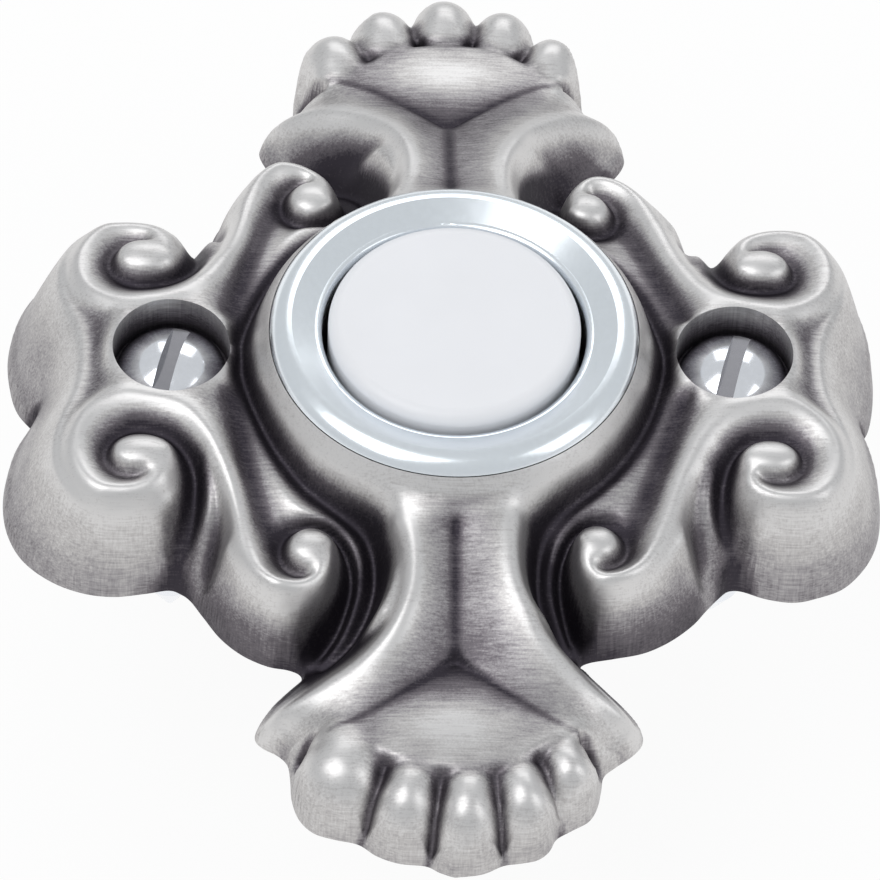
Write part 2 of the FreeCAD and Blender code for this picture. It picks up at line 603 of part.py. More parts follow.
def make_terminal(side, offset):
    """Fixed contact with the washer and screw that clamp a wire to its back."""
    hole = "(terminal_shank_radius + fit_clearance)"
    hole_end = f"{BASE_BOTTOM} + terminal_reach"
    contact = new_body("fixed_contact_" + side, side_offset=offset)
    turn(contact, [
        ("0", hole_end),
        (hole, hole_end),
        (hole, BASE_BOTTOM),
        ("fixed_contact_shank", BASE_BOTTOM),
        ("fixed_contact_shank", BASE_TOP),
        ("fixed_contact_radius", BASE_TOP),
        ("fixed_contact_radius", FIXED_TOP),
        ("0", FIXED_TOP),
    ])
    washer_bottom = f"({BASE_BOTTOM} - washer_thickness)"
    ring("terminal_washer_" + side, hole, "terminal_washer_radius", washer_bottom, "washer_thickness",
         side_offset=offset)
    head_bottom = f"({washer_bottom} - terminal_head_height)"
    screw = turn(new_body("terminal_screw_" + side, side_offset=offset), [
        ("0", head_bottom),
        ("terminal_head_radius", head_bottom),
        ("terminal_head_radius", washer_bottom),
        ("terminal_shank_radius", washer_bottom),
        ("terminal_shank_radius", hole_end),
        ("0", hole_end),
    ])
    top = f"{head_bottom} + small_slot_depth"
    cut_slot(screw, "terminal_head_radius + small_slot_width", "small_slot_width", top, "small_slot_depth")


def make_base_screw(side, offset):
    """Screw through the base into a post of the guide cup."""
    head_bottom = f"({BASE_BOTTOM} - base_screw_head_height)"
    tip = f"{BASE_BOTTOM} + base_screw_length"
    screw = turn(new_body("base_screw_" + side, up_offset=offset), [
        ("0", head_bottom),
        ("base_screw_head_radius", head_bottom),
        ("base_screw_head_radius", BASE_BOTTOM),
        ("base_screw_radius", BASE_BOTTOM),
        ("base_screw_radius", tip),
        ("0", tip),
    ])
    top = f"{head_bottom} + small_slot_depth"
    cut_slot(screw, "base_screw_head_radius + small_slot_width", "small_slot_width", top, "small_slot_depth")


def make_snap_ring():
    """Open ring in the housing's groove, behind the base."""
    outer = "(chamber_radius + snap_ring_bite)"
    body = ring("snap_ring", f"{outer} - snap_ring_width", outer, RING_BOTTOM, "snap_ring_thickness")
    corners = rectangle("2 * snap_ring_width", "snap_ring_opening / 2", f"({outer})")
    pocket(body, "opening", lambda sketch: draw_profile(sketch, corners), BASE_BOTTOM, "snap_ring_thickness")


def make_retaining_nut():
    """Hexagon nut that clamps the plate between itself and the rim."""
    body = new_body("retaining_nut")
    side = "nut_across_flats / 2"
    corner = "nut_across_flats / sqrt(3)"
    corners = [
        (corner, "0"),
        (f"({corner}) / 2", side),
        (f"-({corner}) / 2", side),
        (f"-({corner})", "0"),
        (f"-({corner}) / 2", f"-({side})"),
        (f"({corner}) / 2", f"-({side})"),
    ]
    bottom = f"{NUT_TOP} - nut_thickness"
    pad(body, "hexagon", lambda sketch: draw_profile(sketch, corners), bottom, "nut_thickness")
    bore = "barrel_radius + nut_clearance"
    pocket(body, "bore", lambda sketch: draw_circles(sketch, [("0", "0")], bore), NUT_TOP, "nut_thickness")


def make_fixing_screw(side, offset):
    """Slotted dome head screw through the plate into the wall."""
    dome = "(screw_head_radius^2 + screw_head_rise^2) / (2 * screw_head_rise)"
    screw = turn(new_body("fixing_screw_" + side, side_offset=offset), [
        ("0", "-screw_tail"),
        ("screw_tip_radius", "-screw_tail"),
        ("screw_thread_radius", "screw_point - screw_tail"),
        ("screw_thread_radius", "0"),
        ("screw_shank_radius", "0"),
        ("screw_shank_radius", "screw_seat_height"),
        ("screw_head_radius", "screw_seat_height"),
        ("screw_head_radius", "screw_seat_height + screw_head_edge", dome),
        ("0", SCREW_TOP),
    ])
    cut_slot(screw, "screw_head_radius + screw_slot_width", "screw_slot_width", SCREW_TOP, "screw_slot_depth")
    screw.Placement = Placement(screw.Placement.Base, Rotation(Vector(0, 0, 1), 1))
    screw.setExpression("Placement.Rotation.Angle", from_sheet("screw_slot_angle"))


def on_circle(centre, radius, degrees):
    angle = math.radians(degrees)
    return Vector(centre.x + radius * math.cos(angle), centre.y + radius * math.sin(angle), 0)


def circle_arc(centre, radius, start, end):
    """Arc of a circle between two directions, in degrees."""
    middle = on_circle(centre, radius, (start + end) / 2)
    return Part.Arc(on_circle(centre, radius, start), middle, on_circle(centre, radius, end)).toShape()


def anchors():
    return {
        "outer": Vector(size("outer_scroll_x"), size("outer_scroll_y"), 0),
        "inner": Vector(size("inner_scroll_x"), size("inner_scroll_y"), 0),
        "neck": Vector(0, size("neck_reach"), 0),
    }


def guide_points(name):
    """Points close together on the spline of a guide curve."""
    places = anchors()
    spline = Part.BSplineCurve()
    spline.interpolate([places[anchor] + Vector(x, y, z) for anchor, x, y, z in GUIDES[name]])
    return spline.toShape().discretize(Distance=FINE_STEP / 2)


def scroll_crest():
    """Crest along an S of tangent arcs, from the outer scroll's hook to the inner scroll's."""
    places = anchors()
    outer = places["outer"]
    outer_radius = size("outer_scroll_radius")
    wide_radius = size("wide_scroll_radius")
    inner = places["inner"]
    inner_radius = size("inner_scroll_radius")
    # The wide arc takes over from the outer one at the side nearest the screw
    wide = Vector(outer.x, outer.y - outer_radius + wide_radius, 0)
    # The straight stretch crosses from one side of the S to the other
    across = wide - inner
    lean = math.degrees(math.atan2(across.y, across.x))
    swing = math.degrees(math.acos((wide_radius + inner_radius) / across.Length))
    leaving = lean + swing
    stretches = [
        circle_arc(outer, outer_radius, size("outer_hook_angle"), -90),
        circle_arc(wide, wide_radius, -90, leaving - 180),
        Part.makeLine(on_circle(wide, wide_radius, leaving - 180), on_circle(inner, inner_radius, leaving)),
        circle_arc(inner, inner_radius, leaving, size("inner_hook_angle")),
    ]
    names = ["outer_hook_height", "boss_height", "band_height", "inner_crest_height", "inner_hook_height"]
    heights = [size(name) for name in names]
    points = []
    for stretch, start, end in zip(stretches, heights, heights[1:]):
        line = stretch.discretize(Distance=FINE_STEP / 2)
        for index, point in enumerate(line):
            share = index / (len(line) - 1)
            # The crest climbs to the screw late, and leaves the highest place slowly
            share = share ** 2 if end > start else share
            points.append(Vector(point.x, point.y, start + (end - start) * share))
    return points


def foot_outline():
    """Foot of the quadrant, from the notch at its side round both scrolls and the arm."""
    places = anchors()
    outer_foot = places["outer"] + Vector(size("outer_foot_shift_x"), -size("outer_foot_shift_y"), 0)
    inner_foot = places["inner"] + Vector(size("inner_foot_shift_x"), -size("inner_foot_shift_y"), 0)
    points = [Vector(size("outer_scroll_x + side_notch_reach"), 0, 0)]
    outer_start, outer_end = size("outer_foot_start"), size("outer_foot_end")
    outer_arc = circle_arc(outer_foot, size("outer_foot_radius"), outer_start, outer_end)
    inner_arc = circle_arc(inner_foot, size("inner_foot_radius"), 0, size("inner_foot_end"))
    points += outer_arc.discretize(Distance=FINE_STEP)
    points += inner_arc.discretize(Distance=FINE_STEP)
    points += guide_points("arm_foot")
    return points


def level_ring(centre, radius, height):
    """Points at one height round a circle."""
    points = []
    for degrees in range(0, 360, 3):
        place = on_circle(centre, radius, degrees)
        points.append(Vector(place.x, place.y, height))
    return points


def eye(name):
    """Rings of points on the low dome at the middle of a scroll."""
    centre = anchors()[name] + Vector(-size(name + "_eye_shift_x"), size(name + "_eye_shift_y"), 0)
    radius = size(name + "_eye_radius")
    height = size(name + "_eye_height")
    points = [Vector(centre.x, centre.y, height)]
    for share in (0.4, 0.75):
        points += level_ring(centre, radius * share, height - size("eye_drop") * share ** 2)
    return points


class Heights:
    """Heights on a square grid over one quadrant, mirrored at both of its straight borders."""

    def __init__(self, step, reach_x, reach_y):
        self.step = step
        self.columns = int(math.ceil(reach_x / step)) + 1
        self.rows = int(math.ceil(reach_y / step)) + 1
        self.values = [0.0] * (self.columns * self.rows)

    def place(self, index):
        return (index % self.columns) * self.step, (index // self.columns) * self.step

    def nearest(self, point):
        column = min(self.columns - 1, max(0, int(round(point.x / self.step))))
        row = min(self.rows - 1, max(0, int(round(point.y / self.step))))
        return row * self.columns + column

    def at(self, x, y):
        """Height between grid places."""
        column = min(max(x / self.step, 0), self.columns - 1.001)
        row = min(max(y / self.step, 0), self.rows - 1.001)
        first = int(row) * self.columns + int(column)
        right, up = column - int(column), row - int(row)
        values = self.values
        lower = values[first] * (1 - right) + values[first + 1] * right
        upper = values[first + self.columns] * (1 - right) + values[first + self.columns + 1] * right
        return lower * (1 - up) + upper * up

    def neighbours(self, index):
        column, row = index % self.columns, index // self.columns
        left = index - 1 if column > 0 else index + 1
        right = index + 1 if column < self.columns - 1 else index - 1
        below = index - self.columns if row > 0 else index + self.columns
        above = index + self.columns if row < self.rows - 1 else index - self.columns
        return left, right, below, above


def covered_by(outline, grid):
    """Which places of the grid lie inside the quadrant's foot, row by row."""
    covered = []
    for row in range(grid.rows):
        y = row * grid.step
        crossings = []
        for first, second in zip(outline, outline[1:]):
            if (first.y > y) != (second.y > y):
                crossings.append(first.x + (second.x - first.x) * (y - first.y) / (second.y - first.y))
        for column in range(grid.columns):
            beyond = sum(1 for crossing in crossings if column * grid.step < crossing)
            covered.append(beyond % 2 == 1)
    return covered


def stretch_over(points, reach_x, reach_y, outline, steps):
    """Surface stretched over the points like a skin, from a coarse grid to a fine one."""
    coarser = None
    for step in steps:
        grid = Heights(step, reach_x, reach_y)
        count = len(grid.values)
        held = [not cover for cover in covered_by(outline, grid)] if outline else [False] * count
        total, hits = {}, {}
        for point in points:
            index = grid.nearest(point)
            total[index] = total.get(index, 0.0) + point.z
            hits[index] = hits.get(index, 0) + 1
        for index in range(count):
            if index in hits:
                held[index] = True
                grid.values[index] = total[index] / hits[index]
            elif not held[index]:
                grid.values[index] = coarser.at(*grid.place(index)) if coarser else size("pad_height")
        free = [(index,) + grid.neighbours(index) for index in range(count) if not held[index]]
        values = grid.values
        for _ in range(FIRST_ROUNDS if coarser is None else LATER_ROUNDS):
            for index, left, right, below, above in free:
                mean = (values[left] + values[right] + values[below] + values[above]) / 4
                values[index] += RELAXATION * (mean - values[index])
        coarser = grid
    return coarser


def distance_outside(grid, covered):
    """How far each place is from the covered ones, in two sweeps."""
    far = [0.0 if cover else 99.0 for cover in covered]
    width = grid.columns
    count = len(far)
    steps = [(-1, 1.0), (-width, 1.0), (-width - 1, 1.414), (-width + 1, 1.414)]
    for sign, order in ((1, range(count)), (-1, range(count - 1, -1, -1))):
        for index in order:
            for shift, length in steps:
                other = index + sign * shift
                if 0 <= other < count and abs(other % width - index % width) <= 1:
                    far[index] = min(far[index], far[other] + length)
    return [value * grid.step for value in far]


def soften(grid, spread):
    """Averages heights with those around them, along rows and then along columns."""
    reach = int(math.ceil(2.5 * spread / grid.step))
    weights = [math.exp(-0.5 * (k * grid.step / spread) ** 2) for k in range(-reach, reach + 1)]
    total = sum(weights)
    width, height = grid.columns, grid.rows
    for along_row in (True, False):
        before = list(grid.values)
        for index in range(len(before)):
            column, row = index % width, index // width
            value = 0.0
            for shift, weight in zip(range(-reach, reach + 1), weights):
                if along_row:
                    value += weight * before[row * width + min(abs(column + shift), width - 1)]
                else:
                    value += weight * before[min(abs(row + shift), height - 1) * width + column]
            grid.values[index] = value / total


def relief_heights():
    """Heights of the scrolls, necks, arms and pad over one quadrant."""
    outline = foot_outline()
    reach_x = max(point.x for point in outline) + GROUND_MARGIN
    reach_y = max(point.y for point in outline) + GROUND_MARGIN
    crests = scroll_crest() + guide_points("arm_crest")
    held = crests + eye("outer") + eye("inner")
    for name in GUIDES:
        if name not in ("arm_crest", "arm_foot"):
            held += guide_points(name)
    # Level ground for the screws' recesses and inside the collar
    screw = Vector(size("screw_spacing / 2"), 0, 0)
    recess = size("screw_head_radius + head_recess_clearance")
    for radius in (recess - 2 * FINE_STEP, recess + FINE_STEP):
        held += [point for point in level_ring(screw, radius, size("recess_edge_height")) if point.y >= 0]
    for share in (0.25, 0.5, 0.75, 0.9):
        ring_points = level_ring(Vector(0, 0, 0), size("collar_radius") * share, size("collar_foot_height"))
        held += [point for point in ring_points if point.x >= 0 and point.y >= 0]
    grid = stretch_over(held, reach_x, reach_y, outline, (COARSE_STEP, MIDDLE_STEP, FINE_STEP))
    tops = stretch_over(crests, reach_x, reach_y, None, (COARSE_STEP,))
    covered = covered_by(outline, grid)
    far = distance_outside(grid, covered)
    edge = guide_points("pad_edge")
    pad_edge = []
    for column in range(grid.columns):
        pad_edge.append(min(edge, key=lambda point: abs(point.x - column * grid.step)).y)
    draft = size("wall_draft")
    bulge = size("wall_bulge")
    pad_height = size("pad_height")
    pad_crown = size("pad_crown")
    half_width = size("pad_half_width")
    half_height = size("pad_half_height")
    pad_middle = size("neck_reach + pad_beyond_neck")
    for index, value in enumerate(grid.values):
        x, y = grid.place(index)
        if not covered[index]:
            grid.values[index] = -min(draft * far[index], GROUND_DEPTH)
            continue
        # Between crest and foot the walls bulge
        top = max(1.0, tops.at(x, y))
        share = min(1.0, max(0.0, value / top))
        bulged = top * (1 - (1 - share) ** bulge)
        blend = min(1.0, max(0.0, (0.95 - share) / 0.25))
        value += blend * (bulged - value)
        # Inside the arms lies the crowned pad
        if x < half_width and y > pad_edge[index % grid.columns]:
            crown = (1 - (x / half_width) ** 2) * max(0.0, 1 - ((y - pad_middle) / half_height) ** 2)
            value = pad_height + pad_crown * crown
        grid.values[index] = value
    soften(grid, SOFT_SPREAD)
    return grid


def relief_solid():
    """Block whose top is one spline surface over the four quadrants."""
    grid = relief_heights()
    columns = int((grid.columns - 1) * grid.step / NET_STEP)
    rows = int((grid.rows - 1) * grid.step / NET_STEP)
    wanted = {}
    for column in range(columns + 1):
        for row in range(rows + 1):
            wanted[column, row] = grid.at(column * NET_STEP, row * NET_STEP)

    def net(heights, column, row):
        return heights[min(abs(column), columns), min(abs(row), rows)]

    # The surface runs inside its net, so the net stands out by what the surface would lose
    poles = dict(wanted)
    for _ in range(NET_ROUNDS):
        before = dict(poles)
        for column, row in poles:
            reached = 0.0
            for i, across in ((-1, 1), (0, 4), (1, 1)):
                for j, along in ((-1, 1), (0, 4), (1, 1)):
                    reached += across * along * net(before, column + i, row + j) / 36
            poles[column, row] = before[column, row] + wanted[column, row] - reached
    degree = 3
    rows_of_poles = []
    for column in range(-columns, columns + 1):
        line = []
        for row in range(-rows, rows + 1):
            line.append(Vector(column * NET_STEP, row * NET_STEP, net(poles, column, row)))
        rows_of_poles.append(line)

    def knots(count):
        inner = count - degree - 1
        return [degree + 1] + [1] * inner + [degree + 1], [float(k) for k in range(inner + 2)]

    across_counts, across_knots = knots(2 * columns + 1)
    along_counts, along_knots = knots(2 * rows + 1)
    surface = Part.BSplineSurface()
    surface.buildFromPolesMultsKnots(rows_of_poles, across_counts, along_counts, across_knots, along_knots,
                                     False, False, degree, degree)
    top = surface.toShape()
    low = -BLOCK_DEPTH
    faces = [top]
    bottom_edges = []
    for border in top.Edges:
        start = border.valueAt(border.FirstParameter)
        end = border.valueAt(border.LastParameter)
        start_low = Vector(start.x, start.y, low)
        end_low = Vector(end.x, end.y, low)
        bottom_edges.append(Part.makeLine(start_low, end_low))
        down = Part.makeLine(end, end_low)
        back = Part.makeLine(end_low, start_low)
        up = Part.makeLine(start_low, start)
        faces.append(Part.Face(Part.Wire([border, down, back, up])))
    faces.append(Part.Face(Part.Wire(Part.__sortEdges__(bottom_edges))))
    solid = Part.Solid(Part.Shell(faces))
    if solid.Volume < 0:
        solid.reverse()
    return solid


def lobe(back_x, back_y, foot_x, foot_y, radius):
    """Rounded lobe from its back, on the pad, out to its foot; along counts from the web's middle."""
    middle = size(WEB_MIDDLE)
    back = Vector(back_x, middle + back_y, 0)
    outward = Vector(foot_x - back_x, foot_y - back_y, 0)
    length = outward.Length
    outward.normalize()
    flare = size("lobe_flare")
    head = back + outward * length * size("lobe_head_share") + Vector(0, 0, size("lobe_height") - radius)
    foot = back + outward * (length - radius - flare)
    # The axis runs on below the back face, where the foot is trimmed flat
    axis = foot - head
    cone = Part.makeCone(radius, radius + flare, axis.Length * 1.3, head, axis)
    return Part.makeSphere(radius, head).fuse(cone)


def oval(middle, half_width, half_height):
    """Ellipse with its axes along X and Y, whichever of them is the longer."""
    ends = [Vector(half_width, 0, 0), Vector(0, half_height, 0)]
    longer, shorter = sorted(ends, key=lambda end: -end.Length)
    return Part.Ellipse(middle + longer, middle + shorter, middle)


def end_pieces(lobes, side):
    """Web and lobes of one end; side is 1 at the top and -1 below."""
    curve = oval(Vector(0, size(WEB_MIDDLE), 0), size("web_half_width"), size("web_half_height"))
    pieces = [Part.Face(Part.Wire(curve.toShape())).extrude(Vector(0, 0, size("web_edge")))]
    pieces += [lobe(*numbers) for numbers in lobes]
    if side < 0:
        pieces = [piece.mirror(Vector(0, 0, 0), Vector(0, 1, 0)) for piece in pieces]
    return pieces


def collar():
    """Turned collar: flank, shoulder and the lip that stands round the rim."""
    flank = size("collar_flank_radius")
    flank_height = size("collar_flank_height")
    shoulder = size("collar_radius")
    shoulder_height = size("rim_edge_height - collar_drop")
    lip = shoulder - size("collar_lip_width") / 2
    lip_height = size("rim_edge_height") - 0.05
    points = [
        Vector(0, 0, 0),
        Vector(flank, 0, 0),
        Vector(flank, 0, flank_height),
        Vector(shoulder, 0, shoulder_height),
        Vector(lip, 0, shoulder_height),
        Vector(shoulder - size("collar_lip_width"), 0, lip_height),
        Vector(0, 0, lip_height),
    ]
    edges = []
    for index, start in enumerate(points):
        end = points[(index + 1) % len(points)]
        if start is points[2]:
            bend = (start + end) / 2 + Vector(0.2, 0, 0.2)
            edges.append(Part.Arc(start, bend, end).toShape())
        else:
            edges.append(Part.LineSegment(start, end).toShape())
    return Part.Face(Part.Wire(edges)).revolve(Vector(0, 0, 0), Vector(0, 0, 1), 360)


def make_cast_plate():
    """One casting: collar, four pairs of scrolls, two ends, screw recesses and a cored back."""
    screw_x = size("screw_spacing / 2")
    recess = size("screw_head_radius + head_recess_clearance")
    pieces = [collar()] + end_pieces(TOP_LOBES, 1) + end_pieces(BOTTOM_LOBES, -1)
    casting = relief_solid().multiFuse(pieces)
    tall = 40.0
    below = Part.makeBox(200, 200, tall, Vector(-100, -100, -tall))
    bore = size("barrel_radius + nut_clearance")
    seat = size("rim_outer_radius + rim_clearance")
    seat_height = size("rim_edge_height - rim_seat_depth")
    cuts = [
        below,
        Part.makeCylinder(bore, tall),
        Part.makeCylinder(seat, tall, Vector(0, 0, seat_height)),
        Part.makeCylinder(size("nut_recess_radius"), size("nut_recess_depth")),
    ]
    for x in (-screw_x, screw_x):
        cuts.append(Part.makeCylinder(recess, tall, Vector(x, 0, size("screw_seat_height"))))
        hole = size("screw_shank_radius + screw_hole_clearance")
        cuts.append(Part.makeCylinder(hole, tall, Vector(x, 0, 0)))
    cuts += core_pockets()
    casting = casting.cut(cuts)
    plate = add_subpart("cast_plate", document.addObject("Part::Feature", "cast_plate"))
    plate.Shape = casting.removeSplitter()


def core_pockets():
    """Shallow drafted hollows in the back, under the outer scrolls and the pads."""
    radius = size("core_radius")
    across = size("outer_scroll_x + core_shift")
    along = size("outer_scroll_y")
    pad_y = size(WEB_MIDDLE + " - core_below_web")
    places = [(across, along), (across, -along), (-across, along), (-across, -along), (0, pad_y), (0, -pad_y)]
    narrow = radius - size("core_draft")
    depth = size("core_depth")
    pockets = []
    for x, y in places:
        pockets.append(Part.makeCone(radius, narrow, depth, Vector(x, y, 0)))
    return pockets


make_cast_plate()
make_chrome_rim()
make_housing()
make_button_cap()
make_plunger_stem()
make_guide_cup()
ring("spring_washer", "stem_radius + moving_gap", "spring_radius + 2 * spring_wire_radius", "web_height",
     "washer_thickness")
make_return_spring()
make_moving_contact()
ring("stem_clip", "stem_neck_radius + fit_clearance", "clip_radius", f"({CONTACT_BOTTOM} - clip_thickness)",
     "clip_thickness")
make_contact_base()
for side, half_spacing in (("left", "-contact_spacing / 2"), ("right", "contact_spacing / 2")):
    make_terminal(side, half_spacing)
make_base_screw("upper", "post_offset")
make_base_screw("lower", "-post_offset")
make_snap_ring()
ring("lock_washer", "barrel_radius + nut_clearance", "lock_washer_radius", NUT_TOP, "lock_washer_thickness")
make_retaining_nut()
for side, half_spacing in (("left", "-screw_spacing / 2"), ("right", "screw_spacing / 2")):
    make_fixing_screw(side, half_spacing)

document.recompute()
for item in document.Objects:
    if "Invalid" in item.State or "Error" in item.State:
        raise RuntimeError(f"{item.Label} failed: {item.State}")
os.makedirs("parts", exist_ok=True)
for item in subparts:
    if item.Shape.isNull() or not item.Shape.isValid():
        raise RuntimeError(item.Label + " has no valid shape")
    item.Shape.exportStep(f"parts/{item.Label}.step")
    print(f"{item.Label}: {len(item.Shape.Solids)} solid, {item.Shape.Volume:.1f} mm3")
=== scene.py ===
import json
import math

import bmesh
import bpy
import numpy as np
from mathutils import Matrix, Vector


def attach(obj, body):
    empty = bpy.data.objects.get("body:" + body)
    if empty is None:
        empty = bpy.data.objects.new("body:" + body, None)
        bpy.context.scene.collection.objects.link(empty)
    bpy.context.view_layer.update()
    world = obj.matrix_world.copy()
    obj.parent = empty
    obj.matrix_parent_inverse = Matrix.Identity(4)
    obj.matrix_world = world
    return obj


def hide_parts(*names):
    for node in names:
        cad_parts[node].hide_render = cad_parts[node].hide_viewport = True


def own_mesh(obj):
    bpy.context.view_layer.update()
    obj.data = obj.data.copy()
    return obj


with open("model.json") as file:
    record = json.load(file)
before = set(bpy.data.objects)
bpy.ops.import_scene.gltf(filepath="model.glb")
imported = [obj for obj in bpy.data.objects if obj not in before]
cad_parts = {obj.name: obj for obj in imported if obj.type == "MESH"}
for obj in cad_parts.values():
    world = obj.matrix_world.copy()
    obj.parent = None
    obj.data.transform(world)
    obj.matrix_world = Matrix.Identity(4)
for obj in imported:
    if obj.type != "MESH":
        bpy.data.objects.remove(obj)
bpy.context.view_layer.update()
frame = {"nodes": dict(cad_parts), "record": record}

MM = 0.001

# The relief is worked out in millimetres on a fine square grid, then sampled for the mesh.
RELIEF_STEP = 0.1
MESH_STEP = 0.18
CURVE_STEP = 0.05
OUTLINE_STEP = 0.2
HALF_WIDTH = 32.0
HALF_HEIGHT = 39.2

# Sizes that the CAD parts fix.
COLLAR_RADIUS = 13.1
COLLAR_TOP = 11.95
RIM_SEAT = 10.4
BARREL_HOLE = 11.2
NUT_RECESS_RADIUS = 15.4
NUT_RECESS_DEPTH = 4.0
SCREW_OFFSET = 19.44
SCREW_SEAT = 6.9
SCREW_RECESS = 4.05
SCREW_HOLE = 2.45

# Each curve is a list of (across, along, height) for one quarter of the plate, across and along
# measured from the button's axis. An eye is (across, along, height, half width, half length).
# The left and the right quarters differ a little, as cast.
LEFT = {
    "outline": [(28.9, 0), (30.2, 1.8), (30.8, 4), (31.0, 6.5), (30.6, 9), (29.5, 11.2), (27.6, 12.9),
                (25.4, 13.9), (23.2, 14.2), (21.0, 13.9), (19.4, 13.6), (18.6, 13.9), (17.9, 14.5),
                (17.0, 15.9), (15.8, 17.7), (14.3, 19.1), (12.6, 20.0), (11.2, 20.3), (10.4, 20.7),
                (10.3, 21.3), (11.2, 22.3), (12.3, 23.6), (13.2, 25.2), (13.4, 26.2), (12.9, 26.9),
                (11.9, 27.5), (11.2, 28.3), (11.0, 29.6), (10.9, 31.2), (10.4, 32.8), (9.4, 33.9),
                (8.0, 34.4), (6.4, 34.8), (5.2, 35.7), (3.7, 36.3), (1.9, 36.5), (1.0, 37.0), (0, 37.4)],
    "ridge": [(8.3, 16.0, 7.9), (8.5, 17.2, 7.8), (9.4, 18.2, 7.8), (10.8, 18.8, 8.0), (12.2, 18.9, 8.2),
              (13.5, 17.7, 8.1), (14.2, 16.2, 8.0), (14.7, 14.2, 8.2), (15.3, 11.2, 8.8),
              (16.0, 8.8, 9.6), (17.2, 6.7, 10.1), (19.0, 5.0, 10.3), (21.2, 4.3, 10.4),
              (23.4, 4.3, 10.2), (25.0, 5.0, 9.9), (26.0, 6.4, 9.6), (26.3, 8.6, 9.4), (25.5, 10.6, 9.3),
              (24.2, 11.9, 9.3), (22.4, 12.0, 9.4), (20.8, 11.7, 9.4), (19.7, 10.8, 9.5), (19.4, 9.7, 9.6)],
    "outer_crease": [(21.2, 10.2, 9.2), (22.3, 10.3, 8.9), (23.3, 9.6, 8.7), (23.8, 8.5, 8.7),
                     (23.4, 7.3, 8.8), (22.4, 6.5, 8.8), (20.9, 6.5, 8.8), (19.5, 7.0, 8.6),
                     (18.3, 8.1, 8.1), (17.7, 9.4, 7.4), (17.7, 10.8, 6.5), (17.9, 12.1, 5.2),
                     (18.4, 13.1, 3.6)],
    "raised_line": [(17.1, 8.8, 8.5), (16.8, 10.2, 8.0), (16.7, 11.6, 7.3), (17.0, 12.8, 5.8),
                    (17.7, 13.8, 3.2)],
    "side_groove": [(16.6, 9.4, 8.3), (16.1, 10.8, 7.6), (16.0, 12.0, 6.7), (16.3, 13.2, 5.0),
                    (17.0, 14.3, 2.5)],
    "trough": [(15.6, 3.6, 9.2), (14.9, 6.2, 8.7), (14.4, 8.6, 8.2), (13.8, 10.8, 7.8), (13.2, 13.0, 7.3),
               (12.6, 14.8, 7.0)],
    "inner_crease": [(9.9, 17.4, 7.2), (10.8, 17.3, 7.0), (11.6, 16.4, 6.9), (11.8, 15.2, 6.9),
                     (11.4, 14.0, 7.0), (10.4, 13.4, 6.9), (9.2, 13.4, 6.7), (8.1, 13.9, 6.3),
                     (7.3, 15.0, 5.6), (7.0, 16.3, 4.6), (7.4, 17.8, 3.5), (8.1, 19.1, 2.4),
                     (9.3, 20.3, 1.2)],
    "web_line": [(15.4, 0.2, 9.2), (14.9, 2.3, 8.9), (13.9, 5.2, 8.7), (12.9, 7.8, 8.4),
                 (11.9, 10.2, 8.2), (10.9, 12.0, 8.0), (9.8, 12.8, 7.8), (8.4, 13.2, 7.5),
                 (7.2, 14.2, 6.9), (6.5, 15.4, 6.2), (6.4, 16.8, 5.0), (6.9, 18.4, 3.8), (7.7, 19.8, 2.6),
                 (9.2, 21.0, 1.0)],
    "valley": [(14.7, 0, 8.6), (14.2, 2.6, 8.3), (13.1, 5.6, 8.1), (11.7, 8.2, 7.9), (10.0, 10.5, 7.6),
               (8.0, 12.1, 7.2), (6.3, 13.2, 6.4), (5.5, 14.6, 5.4), (5.3, 16.4, 4.2), (5.8, 18.2, 3.2),
               (7.0, 20.0, 2.0), (8.9, 21.4, 0.9)],
    "arm_crest": [(4.2, 14.3, 9.9), (3.5, 15.6, 9.8), (3.1, 17.6, 9.45), (3.2, 19.6, 9.0),
                  (3.7, 21.2, 8.5), (4.7, 22.8, 7.7), (6.4, 24.2, 6.7), (8.4, 25.2, 5.8),
                  (10.3, 26.0, 4.8), (12.0, 26.5, 3.6), (12.9, 26.6, 2.2)],
    "outer_eye": (21.3, 8.7, 9.95, 1.95, 1.3),
    "inner_eye": (9.7, 15.4, 8.3, 1.5, 1.4),
}
